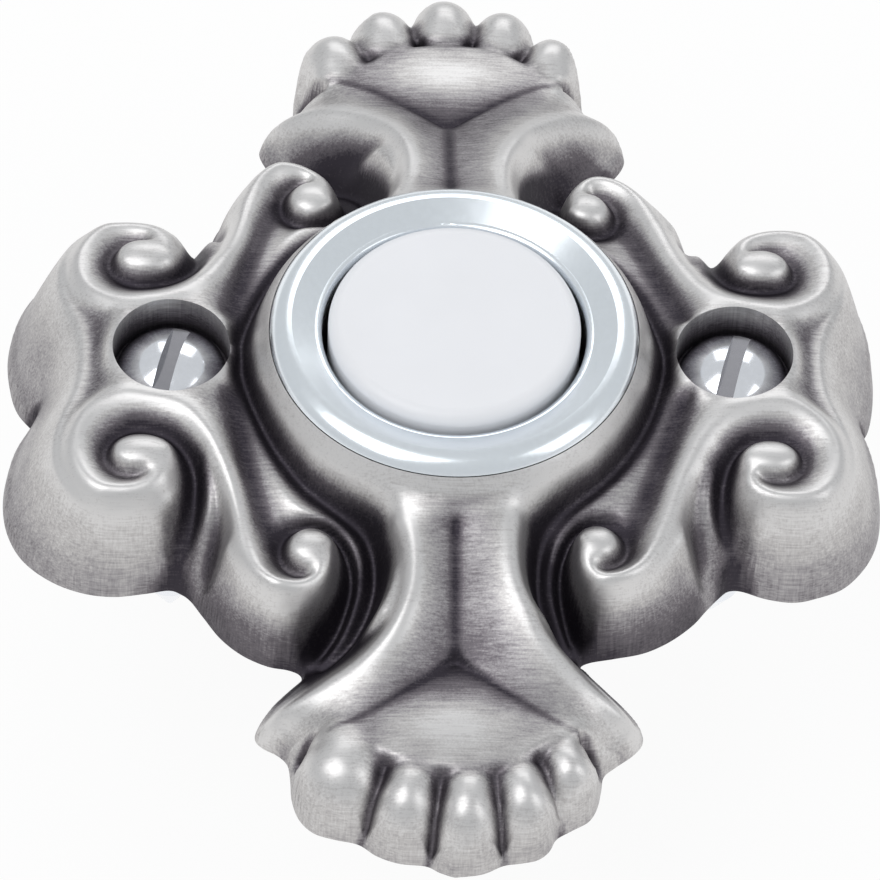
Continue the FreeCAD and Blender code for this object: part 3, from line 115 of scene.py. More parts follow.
RIGHT = {
    "outline": [(28.9, 0), (29.5, 1.2), (29.9, 3.4), (30.0, 6), (29.7, 8.6), (28.8, 10.8), (27.2, 12.7),
                (25.3, 13.6), (23.6, 14.0), (21.7, 13.7), (20.1, 13.1), (19.2, 13.1), (18.6, 13.6),
                (17.6, 14.8), (16.6, 16.1), (15.0, 17.5), (13.2, 18.5), (11.2, 19.0), (9.4, 19.4),
                (8.8, 19.9), (9.4, 20.8), (10.6, 22.2), (11.9, 23.7), (12.8, 25.1), (12.9, 26.2),
                (12.2, 27.2), (11.0, 28.2), (10.2, 29.0), (10.0, 30.2), (9.7, 31.6), (9.1, 32.7),
                (7.9, 33.5), (6.9, 34.2), (6.4, 35.2), (5.6, 35.9), (4.4, 36.2), (3.3, 36.4), (1.9, 37.1),
                (0, 37.4)],
    "ridge": [(8.2, 15.4, 7.9), (8.5, 16.6, 7.8), (9.2, 17.5, 7.9), (10.4, 18.1, 8.1), (11.8, 17.7, 8.2),
              (13.1, 16.5, 8.1), (14.1, 14.8, 8.1), (15.1, 12.3, 8.4), (15.8, 9.7, 8.9), (16.8, 7.2, 9.5),
              (18.1, 5.6, 10.0), (19.6, 4.7, 10.3), (21.5, 4.2, 10.4), (23.5, 4.2, 10.2),
              (25.2, 5.0, 9.9), (26.4, 6.5, 9.6), (26.7, 8.6, 9.4), (26.2, 10.5, 9.3), (25.0, 11.8, 9.3),
              (23.2, 12.1, 9.4), (21.4, 11.8, 9.4), (20.2, 10.9, 9.5), (19.9, 9.8, 9.6)],
    "outer_crease": [(20.9, 9.9, 9.2), (21.8, 10.1, 8.9), (23.0, 9.8, 8.7), (23.8, 8.9, 8.7),
                     (23.9, 7.9, 8.7), (23.3, 7.0, 8.8), (22.2, 6.6, 8.8), (20.9, 6.7, 8.7),
                     (19.7, 7.3, 8.4), (18.8, 8.6, 7.9), (18.4, 9.9, 7.1), (18.4, 11.1, 6.1),
                     (18.7, 12.1, 4.7), (19.1, 12.8, 3.4)],
    "raised_line": [(17.7, 8.8, 8.3), (17.4, 10.1, 7.8), (17.4, 11.3, 6.9), (17.8, 12.3, 5.3),
                    (18.5, 13.1, 3.2)],
    "side_groove": [(17.1, 9.4, 7.9), (16.7, 10.8, 7.2), (16.7, 11.9, 6.1), (17.1, 12.9, 4.4),
                    (17.8, 13.8, 2.3)],
    "trough": [(16.2, 3.2, 9.2), (15.4, 5.4, 8.7), (14.6, 7.6, 8.2), (13.8, 9.8, 7.8), (13.1, 11.8, 7.4),
               (12.4, 13.4, 7.1)],
    "inner_crease": [(10.0, 16.6, 7.2), (11.0, 16.1, 7.0), (11.6, 15.4, 6.9), (11.8, 14.5, 6.9),
                     (11.5, 13.6, 7.0), (10.7, 13.0, 6.9), (9.7, 12.9, 6.8), (8.6, 13.4, 6.5),
                     (7.9, 14.2, 6.0), (7.5, 15.2, 5.1), (7.4, 16.5, 3.9), (7.7, 17.8, 2.7),
                     (8.2, 19.0, 1.4)],
    "web_line": [(15.2, 0.2, 9.2), (14.7, 2.2, 8.8), (13.9, 5.2, 8.5), (12.7, 7.8, 8.2), (11.5, 9.8, 8.1),
                 (10.0, 11.3, 7.9), (8.6, 12.5, 7.6), (7.6, 13.6, 7.1), (6.9, 14.8, 6.4),
                 (6.6, 16.0, 5.4), (6.7, 17.2, 4.3), (7.2, 18.4, 3.0), (8.0, 19.6, 1.4)],
    "valley": [(14.6, 0, 8.6), (14.1, 2.4, 8.3), (13.1, 5.2, 8.1), (11.6, 7.8, 7.9), (9.8, 10.0, 7.7),
               (7.8, 11.6, 7.4), (6.4, 13.0, 6.8), (5.8, 14.5, 5.6), (5.6, 16.2, 4.4), (5.9, 17.8, 3.2),
               (6.8, 19.2, 1.9), (8.0, 20.4, 0.9)],
    "arm_crest": [(4.5, 14.2, 9.9), (4.3, 15.6, 9.7), (4.3, 17.6, 9.3), (4.6, 19.4, 8.9),
                  (5.3, 21.1, 8.3), (6.2, 22.6, 7.4), (7.6, 24.0, 6.5), (9.3, 25.3, 5.5),
                  (10.9, 26.1, 4.4), (12.1, 26.6, 3.2), (12.5, 26.5, 2.0)],
    "outer_eye": (21.6, 8.5, 9.95, 1.8, 1.25),
    "inner_eye": (9.6, 14.8, 8.3, 1.4, 1.3),
}
# The groove down each neck, the edge of the pad that the arms overhang, and the back of the lobes.
GROOVE = [(0, 14.9, 9.5), (0, 16.2, 9.1), (0, 18, 8.5), (0, 20.5, 7.6), (0, 23.2, 6.5)]
ARM_EDGE = [(0, 23.4, 6.0), (1.9, 24.8, 5.9), (3.7, 26.1, 5.75), (5.5, 27.3, 5.5), (7.2, 28.2, 5.15),
            (8.5, 28.7, 4.8), (9.7, 29.1, 4.2)]
LOBE_LINE = [(0, 32.0), (2.4, 31.7), (4.7, 30.9), (6.5, 29.6), (8.6, 28.5)]
# Lobes as (back end, foot, radius, top), across and along the plate.
LOBES_BELOW = [((-7.3, 30.8), (-8.9, 34.2), 3.1, 5.7), ((-3.05, 32.9), (-3.9, 36.3), 2.25, 5.5),
               ((0.85, 33.5), (0.75, 37.2), 2.2, 5.5), ((4.45, 32.9), (5.4, 36.0), 2.1, 5.4),
               ((7.5, 30.8), (8.7, 33.3), 2.0, 5.3)]
LOBES_ABOVE = [((-7.9, 31.0), (-8.9, 33.6), 2.55, 5.8), ((-4.5, 33.4), (-5.0, 36.0), 2.55, 5.9),
               ((-0.1, 34.4), (-0.2, 37.2), 2.5, 5.9), ((4.0, 33.5), (4.4, 36.2), 2.35, 5.8),
               ((7.5, 31.2), (8.3, 33.7), 2.35, 5.7)]

# Curves that carry the rounded crests, and curves that stay crisp.
CRESTS = ("ridge", "arm_crest")
CRISP_LINES = ("arm_edge", "groove")

# The pads and the web between the lobes. PAD_FALL is how far the pad takes to drop to the web.
PAD_EDGE = 4.9
PAD_FALL = 0.8
PAD_CROWN = 0.95
PAD_MIDDLE = 27.6
PAD_REACH = 6.5
PAD_HALF_WIDTH = 8.6
WEB_HEIGHT = 0.7
WEB_HALF_WIDTH = 11.5
WEB_START = 28.4
LOBE_TIP = 0.85
LOBE_CREST = 5.2
FULLNESS_BELOW = 0.08
FULLNESS_ABOVE = 0.5

# How the skin is held, bent and blurred. The walls' bulge fades out along the arms over ARM_START.
ARM_START = (20.4, 21.6)
EYE_DROP = 0.4
CREASE_DEPTH = 0.5
CREASE_FLOOR = 1.0
COLLAR_RINGS = [(0.5, 10.75), (0, 11.25), (-0.15, 11.9), (-0.5, 11.95)]
SCREW_BOSS_RINGS = (0.15, -0.2)
SCREW_BOSS_TOP = 10.1
WALL_BULGE = 1.7
SHARP_BLUR = 0.09
CRISP_BLUR = 0.17
SOFT_BLUR = 0.38
FOOT_BAND = 0.6
FOOT_ROUNDING = (1.8, 0.75)

# Pockets in the hollow back.
CORE_RADIUS = 4.2
CORE_TOP = 3.7
CORE_DEPTH = 3.4
CORE_SIDES = 48
CORES = [(x, y) for x in (-22.5, 22.5) for y in (-8.1, 8.1)] + [(0, -27.0), (0, 27.0)]

# The finish: (dark share, colour) from rubbed bright to dark patina.
PEWTER_STOPS = [
    (0.0, (0.70, 0.69, 0.685, 1)),
    (0.2, (0.53, 0.515, 0.51, 1)),
    (0.36, (0.375, 0.36, 0.37, 1)),
    (0.6, (0.17, 0.155, 0.17, 1)),
    (1.0, (0.050, 0.044, 0.055, 1)),
]
# Noises that are added to the dark share, as (scale, turn, strength): soft clouds and two brushings.
PEWTER_NOISES = [
    ((130.0, 130.0, 130.0), 0.0, 0.3),
    ((240.0, 6400.0, 6400.0), 0.5, 0.6),
    ((6400.0, 6400.0, 240.0), 0.7, 0.42),
]
PATINA_BASE = 0.37
RECESS_PATINA = 0.85
# Depth below the crests at which a wall is as dark as it gets.
DARK_DEPTH = 8.0
# Painted shade: the colour for faces that point straight up on the screws, standing in for the shade on the
# floor of a slot.
SLOT_SHADE_COLOUR = (0.20, 0.20, 0.215, 1)
FACING_UP = 0.9985

# The studio, in metres and watts. The floor lies a little below the lowest screw.
FLOOR_LEVEL = -0.0215
FLOOR_REACH = 1.5
FLOOR_GLOW = 0.93
WORLD_COLOUR = (0.96, 0.98, 1.0, 1)
WORLD_STRENGTH = 0.66
LAMPS = [
    ("key_lamp", (-0.22, -0.14, 0.42), (0.34, 0.36), 0.72),
    ("fill_lamp", (0.34, -0.16, 0.24), (0.2, 0.3), 0.2),
    ("back_lamp", (0.04, 0.36, 0.30), (0.4, 0.22), 0.3),
]

# The camera, solved from the photograph. Distance and target are in millimetres.
AZIMUTH = math.radians(-2.891)
ELEVATION = math.radians(51.612)
ROLL = math.radians(2.994)
DISTANCE = 502.176
TARGET = (-1.081, -9.566, 12.0)
SENSOR_WIDTH = 36
LENS = 302.4


def smooth_curve(points, step):
    """Points about step apart on a Catmull-Rom curve through the control points."""
    control = np.array(points, dtype=float)
    ends = [2 * control[0] - control[1], *control, 2 * control[-1] - control[-2]]
    result = []
    for index in range(1, len(ends) - 2):
        before, start, end, after = (ends[index + shift] for shift in (-1, 0, 1, 2))
        count = max(1, int(np.linalg.norm(end[:2] - start[:2]) / step))
        for k in range(count):
            t = k / count
            result.append(0.5 * (2 * start + (end - before) * t
                                 + (2 * before - 5 * start + 4 * end - after) * t ** 2
                                 + (3 * start - 3 * end + after - before) * t ** 3))
    result.append(control[-1])
    return np.array(result)


class Grid:
    """Square grid over the plate."""

    def __init__(self, step):
        self.step = step
        self.columns = int(round(2 * HALF_WIDTH / step)) + 1
        self.rows = int(round(2 * HALF_HEIGHT / step)) + 1
        self.x, self.y = np.meshgrid(-HALF_WIDTH + step * np.arange(self.columns),
                                     -HALF_HEIGHT + step * np.arange(self.rows))

    def cells(self, points):
        """Rows and columns of the cells nearest to the points."""
        column = np.rint((points[:, 0] + HALF_WIDTH) / self.step).astype(int)
        row = np.rint((points[:, 1] + HALF_HEIGHT) / self.step).astype(int)
        return np.clip(row, 0, self.rows - 1), np.clip(column, 0, self.columns - 1)


def sample(grid, field, x, y):
    """Field at any points, by bilinear interpolation."""
    column = np.clip((x + HALF_WIDTH) / grid.step, 0, grid.columns - 1.001)
    row = np.clip((y + HALF_HEIGHT) / grid.step, 0, grid.rows - 1.001)
    c0 = column.astype(int)
    r0 = row.astype(int)
    fc = column - c0
    fr = row - r0
    return (field[r0, c0] * (1 - fc) * (1 - fr) + field[r0, c0 + 1] * fc * (1 - fr)
            + field[r0 + 1, c0] * (1 - fc) * fr + field[r0 + 1, c0 + 1] * fc * fr)


def smooth_step(low, high, value):
    """Zero below low, one above high, and an S-shaped rise between."""
    share = np.clip((value - low) / (high - low), 0, 1)
    return share * share * (3 - 2 * share)


def blur(field, sigma, step):
    """Gaussian blur of a field, in millimetres."""
    reach = int(math.ceil(3 * sigma / step))
    weights = np.exp(-0.5 * (np.arange(-reach, reach + 1) * step / sigma) ** 2)
    weights /= weights.sum()
    padded = np.pad(field, ((reach, reach), (0, 0)), mode="edge")
    field = sum(w * padded[k:k + field.shape[0], :] for k, w in enumerate(weights))
    padded = np.pad(field, ((0, 0), (reach, reach)), mode="edge")
    return sum(w * padded[:, k:k + field.shape[1]] for k, w in enumerate(weights))


def distance_from(mask, step, reach):
    """Distance of each cell from the cells in mask, up to reach, by passes of a chamfer."""
    far = np.where(mask, 0.0, 1e3)
    moves = [(0, 1, 1.0), (1, 0, 1.0), (1, 1, 1.4142), (1, -1, 1.4142), (1, 2, 2.2361), (2, 1, 2.2361),
             (1, -2, 2.2361), (2, -1, 2.2361)]
    for _ in range(int(reach / step / 2) + 2):
        for rows, columns, length in moves:
            for sign in (1, -1):
                shifted = np.roll(far, (sign * rows, sign * columns), axis=(0, 1)) + length
                np.minimum(far, shifted, out=far)
    return far * step


def quarters():
    """The four quarters of the plate, as (sign across, sign along, curves)."""
    return [(sign_x, sign_y, quarter) for sign_y in (-1, 1) for sign_x, quarter in ((-1, LEFT), (1, RIGHT))]


def relief_curves():
    """Every curve of the relief, mirrored into the four quarters."""
    curves = []
    for sign_x, sign_y, quarter in quarters():
        for name, points in quarter.items():
            if name in ("outline", "outer_eye", "inner_eye"):
                continue
            curve = smooth_curve(points, CURVE_STEP) * np.array([sign_x, sign_y, 1.0])
            if name.endswith("crease"):
                curve[:, 2] = np.maximum(curve[:, 2] - CREASE_DEPTH, CREASE_FLOOR)
            curves.append((name, curve))
        if sign_x == 1:
            curves.append(("groove", smooth_curve(GROOVE, CURVE_STEP) * np.array([1, sign_y, 1])))
            edge = smooth_curve(ARM_EDGE, CURVE_STEP)
            curves += [("arm_edge", edge * np.array([side, sign_y, 1])) for side in (-1, 1)]
    return curves


def curve_cells(grid, curves, names, below=math.inf):
    """Cells that the named curves run through, where they are lower than a height."""
    cells = np.zeros(grid.x.shape, dtype=bool)
    for name, points in curves:
        if name in names:
            cells[grid.cells(points[points[:, 2] < below])] = True
    return cells


def closeness(grid, cells, low, high, reach=None):
    """One on the cells, falling to zero between two distances from them."""
    return 1 - smooth_step(low, high, distance_from(cells, grid.step, reach or high + 0.1))


def outline_polygon():
    """Closed outline of the plate's foot, anticlockwise from the right-hand side."""
    def quarter(points, sign_x, sign_y):
        flat = smooth_curve([(x, y, 0) for x, y in points], OUTLINE_STEP)[:, :2]
        return flat * np.array([sign_x, sign_y])
    right_up = quarter(RIGHT["outline"], 1, 1)
    left_up = quarter(LEFT["outline"], -1, 1)[::-1]
    left_down = quarter(LEFT["outline"], -1, -1)
    right_down = quarter(RIGHT["outline"], 1, -1)[::-1]
    return np.concatenate([right_up[:-1], left_up[:-1], left_down[:-1], right_down[:-1]])


def inside_polygon(polygon, x, y):
    """Which points lie inside a closed polygon, by crossings."""
    inside = np.zeros(x.shape, dtype=bool)
    ends = np.roll(polygon, -1, axis=0)
    for (x0, y0), (x1, y1) in zip(polygon, ends):
        if y0 == y1:
            continue
        crosses = (y0 > y) != (y1 > y)
        if not crosses.any():
            continue
        inside ^= crosses & (x < (x1 - x0) * (y - y0) / (y1 - y0) + x0)
    return inside


def nearest_on_polygon(polygon, x, y):
    """Nearest point of a closed polygon to each point."""
    step = np.roll(polygon, -1, axis=0) - polygon
    length = (step ** 2).sum(axis=1)
    best = np.empty((len(x), 2))
    gap = np.full(len(x), 1e9)
    for start, along, square in zip(polygon, step, length):
        share = np.clip(((x - start[0]) * along[0] + (y - start[1]) * along[1]) / square, 0, 1)
        spot_x = start[0] + share * along[0]
        spot_y = start[1] + share * along[1]
        distance = (spot_x - x) ** 2 + (spot_y - y) ** 2
        closer = distance < gap
        gap[closer] = distance[closer]
        best[closer, 0] = spot_x[closer]
        best[closer, 1] = spot_y[closer]
    return best


# Grid steps of the membrane from coarse to fine, with the rounds of evening out for each, the height
# that the coarsest one starts from and the share of each correction that is made.
MEMBRANE_LEVELS = [(0.8, 400), (0.4, 160), (0.2, 90), (0.1, 60)]
MEMBRANE_START = 6.0
MEMBRANE_CORRECTION = 0.95


def membrane(fixed_points, outside_value):
    """Surface of least area through the fixed points, from a coarse grid to the fine one."""
    polygon = outline_polygon()
    previous = None
    for step, rounds in MEMBRANE_LEVELS:
        level = Grid(step)
        fixed = np.zeros(level.x.shape, dtype=bool)
        if outside_value is not None:
            fixed = ~inside_polygon(polygon, level.x, level.y)
        value = np.full(level.x.shape, outside_value or 0.0)
        total = np.zeros(level.x.shape)
        weight = np.zeros(level.x.shape)
        row, column = level.cells(fixed_points)
        np.add.at(total, (row, column), fixed_points[:, 2])
        np.add.at(weight, (row, column), 1)
        held = weight > 0
        value[held] = total[held] / weight[held]
        fixed |= held
        start = MEMBRANE_START
        if previous is not None:
            start = sample(*previous, level.x, level.y)
        value = np.where(fixed, value, start)
        free = ~fixed
        for _ in range(rounds):
            mean = 0.25 * (np.roll(value, 1, 0) + np.roll(value, -1, 0) + np.roll(value, 1, 1)
                           + np.roll(value, -1, 1))
            value = np.where(free, value + MEMBRANE_CORRECTION * (mean - value), value)
        previous = (level, value)
    return previous[1]


def eye_points(eye, sign_x, sign_y):
    """Rings of points that make the boss at the middle of a scroll."""
    x, y, height, half_width, half_length = eye
    points = [(x, y, height)]
    for share in (0.2, 0.4, 0.6, 0.8, 1.0):
        for k in range(60):
            angle = 2 * math.pi * k / 60
            points.append((x + share * half_width * math.cos(angle),
                           y + share * half_length * math.sin(angle),
                           height - EYE_DROP * share ** 2))
    return np.array(points) * np.array([sign_x, sign_y, 1])


def circle_points(x, y, radius, height):
    """Ring of points of one height."""
    angle = np.linspace(0, 2 * math.pi, int(radius * 140), endpoint=False)
    heights = np.full(angle.shape, height)
    return np.stack([x + radius * np.cos(angle), y + radius * np.sin(angle), heights], axis=1)


def held_points(curves):
    """Every point whose height is given: curves, bosses, collar and screw bosses."""
    held = [points for name, points in curves]
    for sign_x, sign_y, quarter in quarters():
        held.append(eye_points(quarter["outer_eye"], sign_x, sign_y))
        held.append(eye_points(quarter["inner_eye"], sign_x, sign_y))
    for margin, height in COLLAR_RINGS:
        held.append(circle_points(0, 0, COLLAR_RADIUS + margin, height))
    for sign_x in (-1, 1):
        for margin in SCREW_BOSS_RINGS:
            held.append(circle_points(sign_x * SCREW_OFFSET, 0, SCREW_RECESS + margin, SCREW_BOSS_TOP))
    return np.concatenate(held)


def crest_height(curves):
    """Heights of the crests, spread smoothly over the plate."""
    points = np.concatenate([points for name, points in curves if name in CRESTS])
    across = np.arange(-9, 9, 0.2)
    tops = [(x, sign * y, LOBE_CREST) for sign in (-1, 1) for x in across for y in (31.0, 33.0)]
    return np.maximum(membrane(np.concatenate([points, np.array(tops)]), None), 1.0)


def bulge_walls(grid, surface, crest, curves):
    """Lets the walls bulge between crest and foot instead of falling straight, clear of the cut lines."""
    share = np.clip(surface / crest, 0, 1)
    bulged = crest * (1 - (1 - share) ** WALL_BULGE)
    cut = curve_cells(grid, curves, [name for name, points in curves if name not in CRESTS])
    clear = smooth_step(0.5, 1.7, distance_from(cut, grid.step, 1.8))
    clear *= 1 - smooth_step(*ARM_START, np.abs(grid.y))
    blend = clear * (1 - smooth_step(0.7, 0.95, share))
    return np.where(surface < crest, surface + blend * (bulged - surface), surface)


def lobe_height(x, v, lobes, fullness):
    """Highest of the finger-like lobes at each point; v is the distance along the plate."""
    height = np.full(x.shape, -1.0)
    for back, foot, radius, top in lobes:
        length = math.dist(back, foot)
        along_x = (foot[0] - back[0]) / length
        along_v = (foot[1] - back[1]) / length
        along = (x - back[0]) * along_x + (v - back[1]) * along_v
        across = (x - back[0]) * along_v - (v - back[1]) * along_x
        width = radius * (1 + 0.06 * np.clip(along / length, 0, 1))
        side = (across / width) ** 2 + (np.clip(-along, 0, None) / radius) ** 2
        skirt = 0.38 + 0.4 * np.clip(-1.6 * along / radius, 0, 1)
        arch = top * (skirt + (1 - skirt) * np.sqrt(np.clip(1 - side, 0, None)))
        tip = length - LOBE_TIP * radius * (1 - np.sqrt(np.clip(1 - (across / width) ** 2, 0, None)))
        reach = np.clip(along / tip, 0, 1)
        fall = fullness + (1 - fullness) * np.sqrt(np.clip(1 - reach ** 2.6, 0, None))
        height = np.maximum(height, np.where((side < 1) & (along < tip), arch * fall, -1.0))
    return height


def add_ends(grid, surface):
    """Lays the pads and the lobes over both ends; also says which cells are on a pad."""
    edge = smooth_curve(ARM_EDGE, CURVE_STEP)
    line = smooth_curve([(x, y, 0) for x, y in LOBE_LINE], CURVE_STEP)
    across = np.abs(grid.x)
    along = np.abs(grid.y)
    edge_along = np.interp(across, edge[:, 0], edge[:, 1])
    line_along = np.interp(across, line[:, 0], line[:, 1])
    on_pad = (along > edge_along) & (across < PAD_HALF_WIDTH) & (along < line_along + PAD_FALL)
    crown = np.clip(1 - (across / PAD_HALF_WIDTH) ** 2, 0, None)
    crown *= np.clip(1 - ((along - PAD_MIDDLE) / PAD_REACH) ** 2, 0, None)
    past = np.clip((along - line_along) / PAD_FALL, 0, 1)
    pad = WEB_HEIGHT + (PAD_EDGE + PAD_CROWN * crown - WEB_HEIGHT) * np.sqrt(1 - past ** 2)
    surface = np.where(on_pad, pad, surface)
    beyond = (along > line_along) & (across < WEB_HALF_WIDTH) & (along > WEB_START) & ~on_pad
    surface = np.where(beyond, np.minimum(surface, WEB_HEIGHT), surface)
    below = lobe_height(grid.x, -grid.y, LOBES_BELOW, FULLNESS_BELOW)
    above = lobe_height(grid.x, grid.y, LOBES_ABOVE, FULLNESS_ABOVE)
    return np.maximum(surface, np.maximum(below, above)), on_pad


def soften(grid, surface, curves):
    """Rounds the crests and keeps the creases and pad edges crisp, by blurs of three widths."""
    near = closeness(grid, curve_cells(grid, curves, CRESTS), 0.3, 1.1, 1.2)
    beside = closeness(grid, curve_cells(grid, curves, CRISP_LINES), 0.2, 0.8, 0.9)
    sharp = blur(surface, SHARP_BLUR, grid.step)
    crisp = blur(surface, CRISP_BLUR, grid.step)
    soft = blur(surface, SOFT_BLUR, grid.step)
    surface = crisp + near * (soft - crisp)
    return surface + beside * (1 - near) * (sharp - surface)


def finish_and_painted_light_tint(grid, surface, crest, curves, on_pad):
    """Where the dark finish is rubbed off and where it stays in fine lines, with painted shadow beside the
    arm edges on the pads and a painted highlight in the middle of each pad.
    """
    def beside(name, low, high, below=math.inf):
        return closeness(grid, curve_cells(grid, curves, (name,), below), low, high)

    across = np.abs(grid.x)
    along = np.abs(grid.y)
    rub = closeness(grid, curve_cells(grid, curves, CRESTS), 0.15, 1.2, 1.3)
    line = closeness(grid, curve_cells(grid, curves, CRISP_LINES), 0.1, 0.55, 0.7)
    in_groove = (across < 1.0) & (along < ARM_EDGE[0][1])
    # Painted highlight: a lighter patch in the middle of each pad, where the pad catches the light.
    pad_painted_highlight = np.exp(-(across / 4.4) ** 2 - ((along - 28.9) / 2.1) ** 2)
    # The dark lines beside the arm edges on the pads are partly patina in the corner and partly painted
    # shadow under the overhanging arms; in the neck groove they are patina. The pads are made a little
    # darker overall around their painted highlight.
    tint = -0.24 * rub + 0.4 * line * (on_pad | in_groove) + np.where(on_pad, 0.1 - 0.42 * pad_painted_highlight, 0.0)
    depth = np.clip((crest - surface) / DARK_DEPTH, 0, 1)
    inner_wall = (1 - smooth_step(17.3, 18.8, across)) * smooth_step(14, 16, along) * (along < 24)
    trough = beside("trough", 0.3, 1.2)
    tint += 0.3 * beside("outer_crease", 0.5, 2.3, 7.0) + 0.5 * depth * inner_wall + 0.25 * trough
    tint -= 0.22 * beside("web_line", 0.3, 2.4) * (1 - beside("valley", 0.5, 1.1)) * (1 - trough)
    return blur(tint, 0.12, grid.step)


def clean_walls(grid, surface):
    """Redraws the foot of the walls from the true distance to the outline, free of grid steps."""
    polygon = outline_polygon()
    inside = inside_polygon(polygon, grid.x, grid.y)
    band = inside & (distance_from(~inside, grid.step, FOOT_BAND + 0.3) < FOOT_BAND + 0.1)
    rows, columns = np.nonzero(band)
    x = grid.x[rows, columns]
    y = grid.y[rows, columns]
    foot = nearest_on_polygon(polygon, x, y)
    gap = np.hypot(x - foot[:, 0], y - foot[:, 1])
    share = np.clip(gap / FOOT_BAND, 0.02, 1)
    inward_x = foot[:, 0] + (x - foot[:, 0]) / share
    inward_y = foot[:, 1] + (y - foot[:, 1]) / share
    steep, round_over = FOOT_ROUNDING
    height = sample(grid, surface, inward_x, inward_y) * (1 - (1 - share) ** steep) ** round_over
    surface = surface.copy()
    surface[rows, columns] = height
    surface[~inside] = 0.0
    return surface


def make_relief():
    """Grid, heights of the plate's face, heights of the crests above it, and tint of the finish, which
    carries painted shadow and a painted highlight on the pads.
    """
    grid = Grid(RELIEF_STEP)
    curves = relief_curves()
    surface = membrane(held_points(curves), 0.0)
    crest = crest_height(curves)
    surface = bulge_walls(grid, surface, crest, curves)
    surface, on_pad = add_ends(grid, surface)
    surface = soften(grid, surface, curves)
    tint = finish_and_painted_light_tint(grid, surface, crest, curves, on_pad)
    return grid, clean_walls(grid, surface), crest, tint


relief_grid, relief, relief_crest, relief_tint = make_relief()


def keep_simple_edges(cells):
    """Drops cells that touch the rest only at a corner, so that every border is one plain loop."""
    cells = cells.copy()
    for _ in range(6):
        a = cells[:-1, :-1]
        b = cells[:-1, 1:]
        c = cells[1:, :-1]
        d = cells[1:, 1:]
        first = a & d & ~b & ~c
        second = b & c & ~a & ~d
        if not first.any() and not second.any():
            break
        cells[:-1, :-1][first] = False
        cells[:-1, 1:][second] = False
    return cells


def border_loops(quads):
    """Closed loops of border vertices, in order, the longest first."""
    edges = {}
    for quad in quads:
        for k in range(4):
            edge = (quad[k], quad[(k + 1) % 4])
            if (edge[1], edge[0]) in edges:
                del edges[(edge[1], edge[0])]
            else:
                edges[edge] = True
    following = {a: b for a, b in edges}
    loops = []
    while following:
        first = next(iter(following))
        loop = [first]
        current = following.pop(first)
        while current != first:
            loop.append(current)
            current = following.pop(current)
        loops.append(loop)
    loops.sort(key=len, reverse=True)
    return loops


def settle_rows(x, y, z, quads, border):
    """Evens out the spacing of the vertices near the borders; heights are read off again."""
    count = np.zeros(len(x))
    fixed = np.zeros(len(x), dtype=bool)
    fixed[border] = True
    edges = np.concatenate([quads[:, [0, 1]], quads[:, [1, 2]], quads[:, [2, 3]], quads[:, [3, 0]]])
    np.add.at(count, edges[:, 0], 1)
    np.add.at(count, edges[:, 1], 1)
    near = fixed.copy()
    for _ in range(3):
        touched = near[edges[:, 0]] | near[edges[:, 1]]
        near[edges[touched].ravel()] = True
    free = near & ~fixed
    for _ in range(12):
        for values in (x, y):
            total = np.zeros(len(x))
            np.add.at(total, edges[:, 0], values[edges[:, 1]])
            np.add.at(total, edges[:, 1], values[edges[:, 0]])
            values[free] += 0.5 * (total[free] / count[free] - values[free])
    z[free] = sample(relief_grid, relief, x[free], y[free])


def plate_face():
    """The plate's face as vertices in millimetres and quads, with its outer border and its holes."""
    polygon = outline_polygon()
    grid = Grid(MESH_STEP)
    keep = inside_polygon(polygon, grid.x, grid.y)
    rim_radius = COLLAR_RADIUS - 0.35
    keep &= np.hypot(grid.x, grid.y) > rim_radius
    for side in (-1, 1):
        keep &= np.hypot(grid.x - side * SCREW_OFFSET, grid.y) > SCREW_RECESS
    cells = keep_simple_edges(keep[:-1, :-1] & keep[:-1, 1:] & keep[1:, :-1] & keep[1:, 1:])
    rows, columns = np.nonzero(cells)
    first = rows * grid.columns + columns
    corner = np.stack([first, first + 1, first + grid.columns + 1, first + grid.columns], axis=1)
    used = np.unique(corner)
    index = np.full(keep.size, -1)
    index[used] = np.arange(len(used))
    quads = index[corner]
    x = grid.x.ravel()[used].copy()
    y = grid.y.ravel()[used].copy()
    z = sample(relief_grid, relief, x, y)

    outer, *inner = border_loops(quads.tolist())
    onto = nearest_on_polygon(polygon, x[outer], y[outer])
    x[outer] = onto[:, 0]
    y[outer] = onto[:, 1]
    z[outer] = 0.0
    holes = []
    for loop in inner:
        middle = x[loop].mean()
        side = 0 if abs(middle) < 5 else math.copysign(1, middle)
        centre = side * SCREW_OFFSET
        radius = SCREW_RECESS if side else rim_radius
        angle = np.arctan2(y[loop], x[loop] - centre)
        x[loop] = centre + radius * np.cos(angle)
        y[loop] = radius * np.sin(angle)
        z[loop] = sample(relief_grid, relief, x[loop], y[loop]) if side else COLLAR_TOP
        holes.append((loop, centre, side))
    settle_rows(x, y, z, quads, outer + [k for loop, centre, side in holes for k in loop])
    return np.stack([x, y, z], axis=1), quads, outer, holes


def closed_pairs(loop):
    """Neighbours in a closed loop, the last one with the first."""
    return list(zip(loop, loop[1:] + loop[:1]))


def ring_below(bm, loop, centre, radius, height):
    """Next ring of a turned recess, joined to the last one: the same angles, or the same places."""
    ring = []
    for vertex in loop:
        angle = math.atan2(vertex.co.y, vertex.co.x - centre * MM)
        if radius is None:
            ring.append(bm.verts.new((vertex.co.x, vertex.co.y, height * MM)))
        else:
            ring.append(bm.verts.new((centre * MM + radius * MM * math.cos(angle),
                                      radius * MM * math.sin(angle), height * MM)))
    for k, vertex in enumerate(loop):
        following = (k + 1) % len(loop)
        bm.faces.new((vertex, loop[following], ring[following], ring[k]))
    return ring


